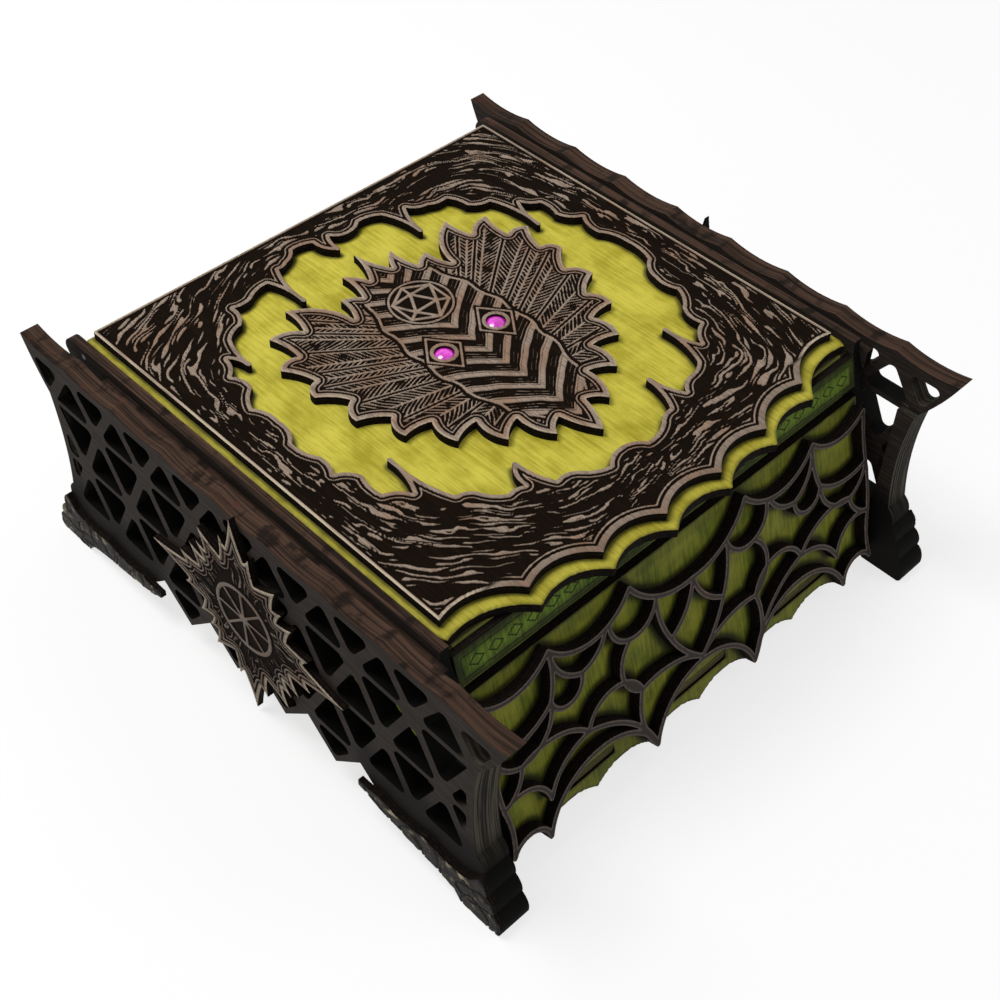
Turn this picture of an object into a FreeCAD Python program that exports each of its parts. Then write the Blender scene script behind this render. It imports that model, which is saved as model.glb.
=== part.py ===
import FreeCAD, Part
import math
import os
import Sketcher

# Dice storage chest cut from plywood sheet: a hinged lid over a divided tray, a drawer behind a
# leaning front, and two pierced side frames that carry it on four feet.
# Frame: origin at the middle of the footprint on the floor, +X right, +Y back, +Z up, millimetres.

DRIVING_SIZES = {
    # sheet stock
    "ply": 4.0,
    "thin_ply": 3.0,
    "web_ply": 2.5,
    # box shell
    "box_width": 216.4,
    "wall_top": 103.0,
    "base_underside": 10.0,
    "shelf_underside": 60.0,
    "front_reach": 88.0,
    "front_lean_angle": 15.4,
    "fascia_height": 13.8,
    "tab_width": 35.0,
    "tab_spacing": 65.0,
    # lid and hinge
    "hinge_reach": 110.4,
    "hinge_pin_radius": 1.2,
    "hinge_pin_depth": 8.0,
    "hinge_clearance": 0.05,
    "lid_open_angle": 105.0,
    "lid_overhang": 5.0,
    "lid_stop_clearance": 0.15,
    "lid_side_gap": 0.7,
    "lid_front_reach": 107.9,
    "lid_bow": 20.0,
    "lid_corner": 4.0,
    "scallop_pitch": 29.2,
    "scallop_depth": 5.5,
    "overlay_side_inset": 3.2,
    "overlay_back_inset": 1.5,
    "overlay_front_inset": 5.7,
    "rock_border": 16.0,
    "plaque_width": 132.0,
    "plaque_length": 140.0,
    "gem_radius": 4.0,
    "gem_spacing": 27.6,
    "gem_line": 12.7,
    "batten_height": 4.0,
    "batten_width": 5.0,
    # tray over the shelf
    "tray_head_gap": 5.0,
    "tray_cross_spacing": 70.0,
    "tray_long_line": 5.0,
    # drawer
    "drawer_side_gap": 0.7,
    "drawer_run_gap": 0.4,
    "drawer_front_gap": 0.3,
    "drawer_head_gap": 0.8,
    "drawer_side_pass": 1.1,
    "drawer_divider_pass": 6.6,
    "drawer_end_gap": 3.0,
    "drawer_travel": 150.0,
    "drawer_stop_drop": 4.0,
    "drawer_stop_width": 120.0,
    "drawer_stop_clearance": 0.3,
    "front_top_gap": 4.1,
    "front_overlap": 5.6,
    "front_side_gap": 0.7,
    "front_scallop_depth": 5.0,
    "web_strand": 2.3,
    "web_top_margin": 1.6,
    # side frames
    "frame_gap": 4.0,
    "frame_overrun": 19.2,
    "frame_rise": 6.0,
    "lattice_pitch": 30.0,
    "lattice_first_row": 28.0,
    "lattice_row": 28.5,
    "lattice_head": 2.0,
    "cross_bar": 2.6,
    "diagonal_bar": 4.2,
    "tooth_notch": 3.0,
    "top_band": 5.0,
    "cornice_scallop": 1.8,
    "bracket_drop": 22.5,
    "bracket_reach": 13.0,
    "bracket_bow": 0.8,
    "bracket_edge": 1.0,
    "post_width": 5.4,
    "post_bow": 2.3,
    "knee_height": 35.0,
    "mound_height": 12.0,
    "foot_spread": 14.6,
    "foot_width": 20.2,
    "toe_height": 3.0,
    "toe_round": 1.8,
    "knuckle_bow": 1.3,
    "heel_slope": 3.5,
    "tooth_tip": 10.0,
    "leg_width": 8.0,
    "bracket_root": 16.0,
    "stile_width": 13.0,
    "stile_lead": 4.6,
    "stile_scallop": 1.2,
    "rail_depth": 18.0,
    "rail_tail": 7.6,
    "rail_nose": 6.0,
    "spacer_height": 8.0,
    "spacer_length": 190.0,
    "plinth_height": 19.0,
    "plinth_reach": 61.0,
    "emblem_floor_gap": 2.0,
    "emblem_rise": 2.0,
    "emblem_half_length": 57.2,
    "window_corner": 2.6,
    "smallest_window": 40.0,
}


class Size:
    """A length or angle with its sheet expression, so one formula drives both bindings and shapes."""

    def __init__(self, text, value):
        self.text = text
        self.value = value

    def __float__(self):
        return float(self.value)

    def combine(self, other, sign, result):
        right = other.text if isinstance(other, Size) else repr(float(other))
        return Size(f"({self.text} {sign} {right})", result)

    def __add__(self, other):
        return self.combine(other, "+", float(self) + float(other))

    def __sub__(self, other):
        return self.combine(other, "-", float(self) - float(other))

    def __mul__(self, other):
        return self.combine(other, "*", float(self) * float(other))

    def __truediv__(self, other):
        return self.combine(other, "/", float(self) / float(other))

    def __neg__(self):
        return self * -1


def tangent(angle):
    return Size(f"tan({angle.text} * 1 deg)", math.tan(math.radians(float(angle))))


def cosine(angle):
    return Size(f"cos({angle.text} * 1 deg)", math.cos(math.radians(float(angle))))


def sine(angle):
    return Size(f"sin({angle.text} * 1 deg)", math.sin(math.radians(float(angle))))


doc = FreeCAD.newDocument("dice_chest")
sheet = doc.addObject("Spreadsheet::Sheet", "Sizes")
for row, (alias, number) in enumerate(DRIVING_SIZES.items(), start=1):
    sheet.set(f"A{row}", alias)
    sheet.set(f"B{row}", str(number))
    sheet.setAlias(f"B{row}", alias)
doc.recompute()


def size(alias):
    return Size(f"Sizes.{alias}", float(sheet.get(alias)))


# ---------------------------------------------------------------- sizes worked out from the sheet
ply = size("ply")
thin_ply = size("thin_ply")
web_ply = size("web_ply")
lean = size("front_lean_angle")
wall_top = size("wall_top")
ply_level = ply / cosine(lean)  # a leaning sheet's thickness measured level

wall_face = size("box_width") / 2  # outer face of a side wall
wall_inside = wall_face - ply
cheek_face = wall_face + ply
core_start = cheek_face + size("frame_gap")
lattice_start = core_start + ply
lattice_face = lattice_start + ply

base_top = size("base_underside") + ply
shelf_top = size("shelf_underside") + ply
divider_top = wall_top - size("tray_head_gap")
lid_under = wall_top
lid_top = lid_under + ply

hinge_y = size("hinge_reach")
hinge_z = lid_under + ply / 2
lid_back = hinge_y + size("lid_overhang")
lid_half = wall_face - size("lid_side_gap")
open_angle = size("lid_open_angle")
stop_swing = sine(open_angle) * ply / 2 - cosine(open_angle) * size("lid_overhang")
back_face = hinge_y - stop_swing - size("lid_stop_clearance")
back_inside = back_face - ply


def front_plane(height):
    """Y of the plane that the walls' front edges stop at, at a height."""
    return -size("front_reach") - (wall_top - height) * tangent(lean)


drawer_half = wall_inside - size("drawer_side_gap")
drawer_under = base_top + size("drawer_run_gap")
drawer_floor = drawer_under + ply
drawer_back_top = size("shelf_underside") - size("drawer_head_gap")
drawer_pass = size("shelf_underside") - size("drawer_stop_drop")  # what slides under the drawer stop
drawer_rear = back_inside - size("drawer_end_gap")
drawer_back_front = drawer_rear - ply
drawer_lead = size("drawer_front_gap") / cosine(lean)  # the drawer front stands this far proud


def drawer_seat(height):
    """Y of the drawer front's back face at a height."""
    return front_plane(height) - drawer_lead


frame_top = wall_top + size("frame_rise")
frame_tip = lid_back + size("frame_overrun")
post_reach = frame_tip - size("bracket_reach")
toe_reach = post_reach + size("foot_spread")
heel_reach = toe_reach - size("foot_width")
bracket_low = frame_top - size("bracket_drop")

front_half = wall_face - size("front_side_gap")
fascia_start = ply * tangent(lean)
fascia_end = fascia_start + size("fascia_height")
panel_start = fascia_end + size("front_top_gap")
front_low = size("base_underside") - size("front_overlap")
panel_end = (wall_top - front_low) / cosine(lean)


# ---------------------------------------------------------------- helpers for objects
def bind(target, path, amount):
    target.setExpression(path, amount.text)


def board(label, x, y, z):
    """A plain rectangular board between low and high corners."""
    part = doc.addObject("Part::Box", label)
    part.Label = label
    for (low, high), length, axis in zip((x, y, z), ("Length", "Width", "Height"), "xyz"):
        bind(part, length, high - low)
        bind(part, f"Placement.Base.{axis}", low)
    return part


def cut(label, base, tools):
    """The base with one or more tools cut away."""
    tool = tools[0]
    if len(tools) > 1:
        tool = doc.addObject("Part::MultiFuse", f"{label}_tools")
        tool.Shapes = tools
    part = doc.addObject("Part::Cut", label)
    part.Label = label
    part.Base = base
    part.Tool = tool
    return part


def fuse(label, pieces):
    part = doc.addObject("Part::MultiFuse", label)
    part.Label = label
    part.Shapes = pieces
    return part


def side_profile(label, start, thickness, corners):
    """A body padded along +X from start, with a polygon of (y, z) corners as its sketch."""
    body = doc.addObject("PartDesign::Body", label)
    body.Label = label
    sketch = body.newObject("Sketcher::SketchObject", f"{label}_sketch")
    plane = next(f for f in body.Origin.OriginFeatures if f.Role == "YZ_Plane")
    sketch.AttachmentSupport = [(plane, "")]
    sketch.MapMode = "FlatFace"
    bind(sketch, "AttachmentOffset.Base.z", start)
    points = [FreeCAD.Vector(float(y), float(z), 0) for y, z in corners]
    count = len(points)
    for i in range(count):
        sketch.addGeometry(Part.LineSegment(points[i], points[(i + 1) % count]), False)
    for i in range(count):
        sketch.addConstraint(Sketcher.Constraint("Coincident", i, 2, (i + 1) % count, 1))
    for i, corner in enumerate(corners):
        for kind, amount in zip(("DistanceX", "DistanceY"), corner):
            index = sketch.addConstraint(Sketcher.Constraint(kind, -1, 1, i, 1, float(amount)))
            bind(sketch, f"Constraints[{index}]", amount)
    pad = body.newObject("PartDesign::Pad", f"{label}_pad")
    pad.Profile = sketch
    bind(pad, "Length", thickness)
    return body


def rod(label, start, length, radius, y, z):
    """A round rod along +X."""
    part = doc.addObject("Part::Cylinder", label)
    part.Label = label
    bind(part, "Radius", radius)
    bind(part, "Height", length)
    part.Placement = FreeCAD.Placement(FreeCAD.Vector(), FreeCAD.Rotation(FreeCAD.Vector(0, 1, 0), 90))
    for axis, amount in zip("xyz", (start, y, z)):
        bind(part, f"Placement.Base.{axis}", amount)
    return part


# ---------------------------------------------------------------- helpers for cut outlines
def loop(points):
    """A closed wire. Each point is (x, y) or (x, y, sag): sag bows the edge that ends there, and is
    positive to the left of travel, which is inwards on an outline drawn anticlockwise."""
    points = [(float(p[0]), float(p[1]), float(p[2]) if len(p) > 2 else 0.0) for p in points]
    if math.dist(points[0][:2], points[-1][:2]) > 1e-6:
        points.append((points[0][0], points[0][1], points[0][2]))
    edges = []
    for (x0, y0, _), (x1, y1, sag) in zip(points, points[1:]):
        start = FreeCAD.Vector(x0, y0, 0)
        end = FreeCAD.Vector(x1, y1, 0)
        if abs(sag) < 1e-6:
            edges.append(Part.makeLine(start, end))
            continue
        left = FreeCAD.Vector(y0 - y1, x1 - x0, 0).normalize()
        edges.append(Part.Arc(start, (start + end) / 2 + left * sag, end).toShape())
    return Part.Wire(edges)


def mirrored(half, near_sag=0.0, far_sag=0.0):
    """A left half drawn from the top middle to the bottom middle, with its mirror image added.
    near_sag and far_sag bow the edges that cross the middle at the start and at the end."""
    half = [(float(p[0]), float(p[1]), float(p[2]) if len(p) > 2 else 0.0) for p in half]
    points = [(half[0][0], half[0][1], near_sag), *half[1:]]
    last = half[-1]
    if abs(last[0]) > 1e-6:
        points.append((-last[0], last[1], far_sag))
    for (x, y, _), (_, _, sag) in zip(half[-2::-1], half[:0:-1]):
        points.append((-x, y, sag))
    return points


def rounded(corners, radius):
    """A closed wire round a convex polygon whose corners are arcs of the radius, where they fit."""
    count = len(corners)
    points = []
    for i in range(count):
        before, here, after = (FreeCAD.Vector(*corners[(i + k) % count], 0) for k in (-1, 0, 1))
        into = before - here
        out = after - here
        half_turn = into.getAngle(out) / 2
        reach = min(radius / math.tan(half_turn), into.Length * 0.45, out.Length * 0.45)
        start = here + into.normalize() * reach
        end = here + out.normalize() * reach
        arc_radius = reach * math.tan(half_turn)
        sag = -(arc_radius - arc_radius * math.sin(half_turn))
        points.append((start.x, start.y, 0.0))
        points.append((end.x, end.y, sag))
    return loop(points)


def clipped(corners, a, b, c):
    """The part of a convex polygon where a*x + b*y is at most c."""
    kept = []
    for (x0, y0), (x1, y1) in zip(corners, corners[1:] + corners[:1]):
        d0 = a * x0 + b * y0 - c
        d1 = a * x1 + b * y1 - c
        if d0 <= 0:
            kept.append((x0, y0))
        if d0 * d1 < 0:
            share = d0 / (d0 - d1)
            kept.append((x0 + (x1 - x0) * share, y0 + (y1 - y0) * share))
    return [here for here, after in zip(kept, kept[1:] + kept[:1]) if math.dist(here, after) > 0.2]


def area(corners):
    pairs = zip(corners, corners[1:] + corners[:1])
    return sum(x0 * y1 - x1 * y0 for (x0, y0), (x1, y1) in pairs) / 2


def plate(label, wires, thickness, placement):
    """A flat plate cut to wires, the first of them its outside, and put at its placement."""
    face = Part.makeFace(wires, "Part::FaceMakerBullseye")
    return solid(label, face.extrude(FreeCAD.Vector(0, 0, float(thickness))), placement)


def solid(label, shape, placement):
    part = doc.addObject("Part::Feature", label)
    part.Label = label
    part.Shape = shape
    part.Placement = placement
    return part


def level_at(height):
    return FreeCAD.Placement(FreeCAD.Vector(0, 0, float(height)), FreeCAD.Rotation())


def upright_at(start):
    """Turns outline x, y and thickness to the box's Y, Z and X."""
    return FreeCAD.Placement(
        FreeCAD.Vector(float(start), 0, 0), FreeCAD.Rotation(FreeCAD.Vector(1, 1, 1), 120)
    )


def leaning_at(proud, down=0.0):
    """Lays an outline on the leaning front, its y up the slope from the wall top or from a line
    that far down it, and proud of it."""
    turn = FreeCAD.Rotation(FreeCAD.Vector(1, 0, 0), 90 - float(lean))
    start = FreeCAD.Vector(0, -float(size("front_reach")), float(wall_top))
    return FreeCAD.Placement(start + turn.multVec(FreeCAD.Vector(0, -float(down), float(proud))), turn)


def both_sides(start, thickness):
    """Each side's name and where a sheet starts along X, for one that starts at start on the right."""
    return ("right", start), ("left", -start - thickness)


parts = []


def keep(part):
    parts.append(part)
    return part


# ---------------------------------------------------------------- box shell
def make_shell():
    inside = (-wall_inside, wall_inside)
    base_front = drawer_seat(base_top) + ply_level / 4
    keep(board("base_board", inside, (base_front, back_face), (size("base_underside"), base_top)))
    keep(board("back_wall", inside, (back_inside, back_face), (base_top, wall_top)))
    shelf_levels = (size("shelf_underside"), shelf_top)
    keep(board("shelf", inside, (front_plane(shelf_top), back_inside), shelf_levels))
    for side, start in both_sides(wall_inside, ply):
        low, high = size("base_underside"), wall_top
        corners = (
            (front_plane(low), low),
            (back_face, low),
            (back_face, high),
            (front_plane(high), high),
        )
        keep(side_profile(f"side_wall_{side}", start, ply, corners))
    low, high = shelf_top, wall_top
    corners = (
        (front_plane(low), low),
        (front_plane(low) + ply_level, low),
        (front_plane(high) + ply_level, high),
        (front_plane(high), high),
    )
    keep(side_profile("front_wall", -wall_inside, wall_inside * 2, corners))
    fascia = [
        (-front_half, -fascia_start),
        (-front_half, -fascia_end),
        (front_half, -fascia_end),
        (front_half, -fascia_start),
    ]
    keep(plate("front_fascia", [loop(fascia)], ply, leaning_at(0)))


def make_tray_dividers():
    """Two cross dividers halved over one long divider, on the shelf."""
    low = shelf_top
    high = divider_top
    middle = (low + high) / 2
    slot_y = (size("tray_long_line") - thin_ply / 2, size("tray_long_line") + thin_ply / 2)
    long_blank = board("divider_long_blank", (-wall_inside, wall_inside), slot_y, (low, high))
    slots = []
    off_middle = size("tray_cross_spacing") / 2
    for side, centre in (("right", off_middle), ("left", -off_middle)):
        start = centre - thin_ply / 2
        slots.append(board(f"divider_slot_{side}", (start, start + thin_ply), slot_y, (middle, high)))
        corners = (
            (front_plane(low) + ply_level, low),
            (back_inside, low),
            (back_inside, high),
            (front_plane(high) + ply_level, high),
        )
        blank = side_profile(f"divider_cross_blank_{side}", start, thin_ply, corners)
        notch = board(f"divider_notch_{side}", (start, start + thin_ply), slot_y, (low, middle))
        keep(cut(f"divider_cross_{side}", blank, [notch]))
    keep(cut("divider_long", long_blank, slots))


# ---------------------------------------------------------------- lid
def lid_outline(half_width, back, reach, bow_width, corner):
    """A panel with a straight back and a scalloped front whose cusps lie on a forward bow."""
    pitch = float(size("scallop_pitch"))
    bow = float(size("lid_bow"))
    depth = float(size("scallop_depth"))
    half_width, back, reach = float(half_width), float(back), float(reach)

    def front(x):
        return -reach + bow * (x / float(bow_width)) ** 2

    half = [(-half_width, back), (-half_width, front(half_width) + corner)]
    if corner > 0:
        half.append((-half_width + corner / 3, front(half_width)))
    for step in (2.5, 1.5, 0.5):
        half.append((-pitch * step, front(pitch * step), depth))
    return mirrored(half, far_sag=depth)


def rock_opening():
    """The ragged opening, drawn anticlockwise, with spikes that hang and stand in it."""
    ragged = [
        (88, 12), (84, 24), (87, 36), (80, 45), (81, 55), (75, 61), (71, 45), (69, 45), (66, 70),
        (57, 75), (54, 84), (45, 86), (37, 91), (32, 75), (30, 75), (26, 94), (16, 97), (8, 94),
        (1, 98), (-1, 89), (-3, 89), (-7, 99), (-16, 101), (-23, 96), (-28, 95), (-32, 73), (-34, 73),
        (-37, 91), (-47, 88), (-56, 88), (-60, 78), (-68, 74), (-71, 58), (-73, 58), (-76, 66),
        (-81, 57), (-79, 47), (-86, 38), (-83, 26), (-87, 14), (-84, 2), (-86, -8), (-79, -16),
        (-80, -27), (-72, -34), (-68, -16), (-66, -16), (-62, -45), (-55, -49), (-48, -57), (-41, -58),
        (-37, -48), (-35, -48), (-31, -64), (-22, -66), (-12, -72), (-3, -68), (7, -73), (18, -70),
        (26, -67), (31, -51), (33, -51), (37, -65), (46, -60), (53, -57), (57, -36), (59, -36),
        (62, -51), (71, -43), (73, -32), (80, -23), (79, -12), (86, -2),
    ]
    half_width = float(lid_half - size("overlay_side_inset") - size("rock_border"))
    scale = half_width / max(x for x, _ in ragged)
    return loop(weathered(ragged, scale))


def weathered(ragged, scale):
    """A ragged edge with every run bowed: spike tips blunt, long flanks hollow, the rest wavering."""
    waver = (0.13, -0.09, 0.11)
    points = []
    for index, (x, y) in enumerate(ragged):
        run = math.dist((x, y), ragged[index - 1])
        share = 0.45 if run < 2.5 else -0.07 if run > 13 else waver[index % len(waver)]
        points.append((x * scale, y * scale, run * share * scale))
    return points


def plaque_outline():
    """A winged crest, drawn as the left half from its crown to its tail: every feather has a full
    leading edge and a hollow trailing edge."""
    feathers = [
        (0, 82), (-6, 65, 1), (-13, 74, -1), (-15, 59, 1), (-23, 63, -1), (-26, 51, 1),
        (-43, 73, -4), (-45, 59, 1), (-58, 64, -2), (-56, 49, 1), (-66, 47, -2), (-60, 34, 1),
        (-66, 27, -2), (-57, 17, 1), (-63, 7, -2), (-52, 0, 1), (-55, -11, -2), (-43, -12, 1),
        (-43, -26, -2), (-31, -23, 1), (-29, -38, -2), (-19, -32, 1), (-14, -48, -2), (-7, -42, 1),
        (0, -58, -1),
    ]
    across = float(size("plaque_width")) / 2 / max(-x for x, *_ in feathers)
    heights = [point[1] for point in feathers]
    along = float(size("plaque_length")) / (max(heights) - min(heights))
    return mirrored([(x * across, y * along, *sag) for x, y, *sag in feathers])


def disc(x, y, radius):
    circle = Part.makeCircle(float(radius), FreeCAD.Vector(float(x), float(y), 0))
    return Part.Wire([circle])


def gem_centres():
    half = size("gem_spacing") / 2
    return ("right", half), ("left", -half)


def make_gem(side, centre):
    """A round stone with a domed top, level with the plaque's face, turned from a profile."""
    radius = size("gem_radius")
    body = doc.addObject("PartDesign::Body", f"gem_{side}")
    body.Label = f"gem_{side}"
    sketch = body.newObject("Sketcher::SketchObject", f"gem_{side}_sketch")
    plane = next(f for f in body.Origin.OriginFeatures if f.Role == "XZ_Plane")
    sketch.AttachmentSupport = [(plane, "")]
    sketch.MapMode = "FlatFace"
    height = float(ply)
    girdle = height * 0.65
    reach = float(radius)
    rise = height - girdle
    dome = (reach * reach + rise * rise) / (2 * rise)
    corners = [FreeCAD.Vector(x, z, 0) for x, z in ((0, 0), (reach, 0), (reach, girdle), (0, height))]
    centre_z = height - dome
    start_angle = math.atan2(girdle - centre_z, reach)
    for a, b in zip(corners, corners[1:3]):
        sketch.addGeometry(Part.LineSegment(a, b), False)
    circle = Part.Circle(FreeCAD.Vector(0, centre_z, 0), FreeCAD.Vector(0, 0, 1), dome)
    sketch.addGeometry(Part.ArcOfCircle(circle, start_angle, math.pi / 2), False)
    sketch.addGeometry(Part.LineSegment(corners[3], corners[0]), False)
    for first, end, second, begin in ((0, 2, 1, 1), (1, 2, 2, 1), (2, 2, 3, 1), (3, 2, 0, 1)):
        sketch.addConstraint(Sketcher.Constraint("Coincident", first, end, second, begin))
    sketch.addConstraint(Sketcher.Constraint("Coincident", 0, 1, -1, 1))
    sketch.addConstraint(Sketcher.Constraint("Horizontal", 0))
    sketch.addConstraint(Sketcher.Constraint("Vertical", 1))
    sketch.addConstraint(Sketcher.Constraint("Vertical", 3))
    sketch.addConstraint(Sketcher.Constraint("PointOnObject", 2, 3, -2))
    for geometry, kind, amount in ((0, "DistanceX", radius), (1, "DistanceY", ply * 0.65)):
        index = sketch.addConstraint(
            Sketcher.Constraint(kind, geometry, 1, geometry, 2, float(amount))
        )
        bind(sketch, f"Constraints[{index}]", amount)
    index = sketch.addConstraint(Sketcher.Constraint("DistanceY", -1, 1, 3, 1, float(ply)))
    bind(sketch, f"Constraints[{index}]", ply)
    turned = body.newObject("PartDesign::Revolution", f"gem_{side}_turned")
    turned.Profile = sketch
    turned.ReferenceAxis = (sketch, ["V_Axis"])
    turned.Angle = 360
    bind(body, "Placement.Base.x", centre)
    bind(body, "Placement.Base.y", size("gem_line"))
    bind(body, "Placement.Base.z", lid_top)
    return body


def make_lid():
    reach = size("lid_front_reach")
    board_outline = lid_outline(lid_half, lid_back, reach, lid_half, float(size("lid_corner")))
    blank = plate("lid_board_blank", [loop(board_outline)], ply, level_at(lid_under))
    depth = size("hinge_pin_depth") + 0.5
    bore = size("hinge_pin_radius") + size("hinge_clearance")
    bores = [
        rod("lid_bore_right", lid_half - depth, depth + 1, bore, hinge_y, hinge_z),
        rod("lid_bore_left", -lid_half - 1, depth + 1, bore, hinge_y, hinge_z),
    ]
    keep(cut("lid_board", blank, bores))

    overlay_half = lid_half - size("overlay_side_inset")
    overlay_back = lid_back - size("overlay_back_inset")
    overlay_reach = reach - size("overlay_front_inset")
    outside = lid_outline(overlay_half, overlay_back, overlay_reach, overlay_half, 0.0)
    keep(plate("lid_overlay", [loop(outside), rock_opening()], ply, level_at(lid_top)))

    seats = [disc(centre, size("gem_line"), size("gem_radius")) for _, centre in gem_centres()]
    keep(plate("lid_plaque", [loop(plaque_outline()), *seats], ply, level_at(lid_top)))
    for side, centre in gem_centres():
        keep(make_gem(side, centre))

    inner = wall_inside - size("lid_side_gap")
    front = front_plane(wall_top) + ply_level + size("lid_side_gap")
    rear = back_inside - size("lid_overhang") - size("batten_height")
    levels = (lid_under - size("batten_height"), lid_under)
    width = size("batten_width")
    keep(board("lid_batten_right", (inner - width, inner), (front, rear), levels))
    keep(board("lid_batten_left", (-inner, width - inner), (front, rear), levels))
    keep(board("lid_batten_front", (width - inner, inner - width), (front, front + width), levels))


def make_hinge_pins():
    """Each pin is glued in its cheek rail and turns in the lid board's edge."""
    length = size("hinge_pin_depth") + size("lid_side_gap") + ply
    start = lid_half - size("hinge_pin_depth")
    for side, begin in both_sides(start, length):
        keep(rod(f"hinge_pin_{side}", begin, length, size("hinge_pin_radius"), hinge_y, hinge_z))


# ---------------------------------------------------------------- drawer
def drawer_tab_slots(name, y):
    half = size("tab_width") / 2
    slots = []
    for place in (-1, 0, 1):
        centre = size("tab_spacing") * place
        ends = (centre - half, centre + half)
        slots.append(board(f"{name}_{place + 2}", ends, y, (drawer_under, drawer_floor)))
    return slots


def make_drawer():
    proud = size("drawer_front_gap")
    tab_end = drawer_seat(drawer_floor) - ply_level
    front_edge = drawer_seat(drawer_floor)

    pitch = float(size("scallop_pitch"))
    depth = float(size("front_scallop_depth"))
    top = -float(panel_start)
    low = -float(panel_end)
    edge = float(front_half)
    half = [(0, top), (-edge, top), (-edge, low + depth)]
    half += [(-pitch * 3, low, depth * 0.6), (-pitch * 2, low, depth), (-pitch, low, depth), (0, low, depth)]
    blank = plate("drawer_front_blank", [loop(mirrored(half))], ply, leaning_at(proud))
    reach = (tab_end - ply, front_edge + ply)
    keep(cut("drawer_front", blank, drawer_tab_slots("drawer_front_slot", reach)))

    across = (-drawer_half, drawer_half)
    floor = board("drawer_floor_blank", across, (front_edge, drawer_rear), (drawer_under, drawer_floor))
    tabs = drawer_tab_slots("drawer_tab", (tab_end, front_edge + ply))
    keep(fuse("drawer_bottom", [floor, *tabs]))

    low = drawer_floor
    high = drawer_pass - size("drawer_side_pass")
    for side, start in both_sides(drawer_half - ply, ply):
        corners = (
            (drawer_seat(low), low),
            (drawer_rear, low),
            (drawer_rear, high),
            (drawer_seat(high), high),
        )
        keep(side_profile(f"drawer_side_{side}", start, ply, corners))
    inside = (ply - drawer_half, drawer_half - ply)
    keep(board("drawer_back", inside, (drawer_back_front, drawer_rear), (low, drawer_back_top)))

    high = drawer_pass - size("drawer_divider_pass")
    middle = (low + high) / 2
    slot = (-thin_ply / 2, thin_ply / 2)
    corners = (
        (drawer_seat(low), low),
        (drawer_back_front, low),
        (drawer_back_front, high),
        (drawer_seat(high), high),
    )
    long_blank = side_profile("drawer_divider_long_blank", -thin_ply / 2, thin_ply, corners)
    keep(cut("drawer_divider_long", long_blank, [board("drawer_divider_notch", slot, slot, (low, middle))]))
    cross_blank = board("drawer_divider_cross_blank", inside, slot, (low, high))
    keep(cut("drawer_divider_cross", cross_blank, [board("drawer_divider_slot", slot, slot, (middle, high))]))

    stop_face = drawer_back_front - size("drawer_travel") - size("drawer_stop_clearance")
    half_stop = size("drawer_stop_width") / 2
    levels = (drawer_pass, size("shelf_underside"))
    keep(board("drawer_stop", (-half_stop, half_stop), (stop_face - ply, stop_face), levels))


def web_strands():
    """The right half of the web fret as (start, end, sag): sag bows a strand to the left of its run.
    It is drawn on a web 107.5 mm from the middle to its edge and 80 mm from top to foot."""
    side = 105.5
    return [
        # swags under the top edge
        ((0, -17.2), (32, -0.5), -5.2),
        ((32, -0.5), (73, -0.5), -10.0),
        ((73, -0.5), (side, -3), -6.0),
        # second row
        ((20, -14.0), (44, -9.5), -11.0),
        ((46, -9.8), (60, -20.0), -2.5),
        ((60, -20.0), (72.5, -2.5), -3.5),
        ((60, -20.0), (76, -22), -8.0),
        ((73, -0.5), (76, -22), -1.5),
        ((76, -22), (side, -27), -4.0),
        ((side, -3), (side, -27), -0.6),
        # third row
        ((0, -17.2), (15, -36.5), -3.0),
        ((20, -14.0), (15, -36.5), 1.5),
        ((15, -36.5), (0, -56), 1.5),
        ((36, -23.0), (33, -48.5), 7.0),
        ((76, -22), (94, -39), -5.5),
        ((94, -39), (side, -27), -2.5),
        ((side, -27), (side, -52), 0.7),
        # fourth row
        ((0, -56), (33, -48.5), 4.0),
        ((33, -48.5), (61.5, -47.5), 10.5),
        ((61.5, -47.5), (94, -39), 5.5),
        ((94, -39), (side, -52), -2.5),
        ((33, -48.5), (29.2, -80), 4.0),
        ((29.2, -80), (61.5, -47.5), 6.0),
        ((61.5, -47.5), (84, -63), 4.0),
        ((84, -63), (side, -52), 6.5),
        ((side, -52), (side, -76), -1.5),
        # arches along the foot
        ((0, -57.5), (29.2, -80), 6.0),
        ((29.2, -80), (87.6, -80), 21.0),
        ((87.6, -80), (side, -76), 7.0),
    ]


def strand(start, end, sag, width):
    """A strip of the width along an arc, with a round end at each node, all facing up."""
    first = FreeCAD.Vector(start[0], start[1], 0)
    last = FreeCAD.Vector(end[0], end[1], 0)
    chord = last - first
    left = FreeCAD.Vector(-chord.y, chord.x, 0).normalize()
    middle = (first + last) / 2 + left * sag
    centre = Part.Arc(first, middle, last).toShape().Curve.Center
    outer, inner = (
        [p + (p - centre).normalize() * shift for p in (first, middle, last)]
        for shift in (width / 2, -width / 2)
    )
    wire = Part.Wire([
        Part.Arc(*outer).toShape(),
        Part.makeLine(outer[2], inner[2]),
        Part.Arc(*reversed(inner)).toShape(),
        Part.makeLine(inner[0], outer[0]),
    ])
    band = Part.Face(wire)
    if band.normalAt(0, 0).z < 0:
        band.reverse()
    ends = [Part.Face(disc(p.x, p.y, width / 2)) for p in (first, last)]
    return [band, *ends]


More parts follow.
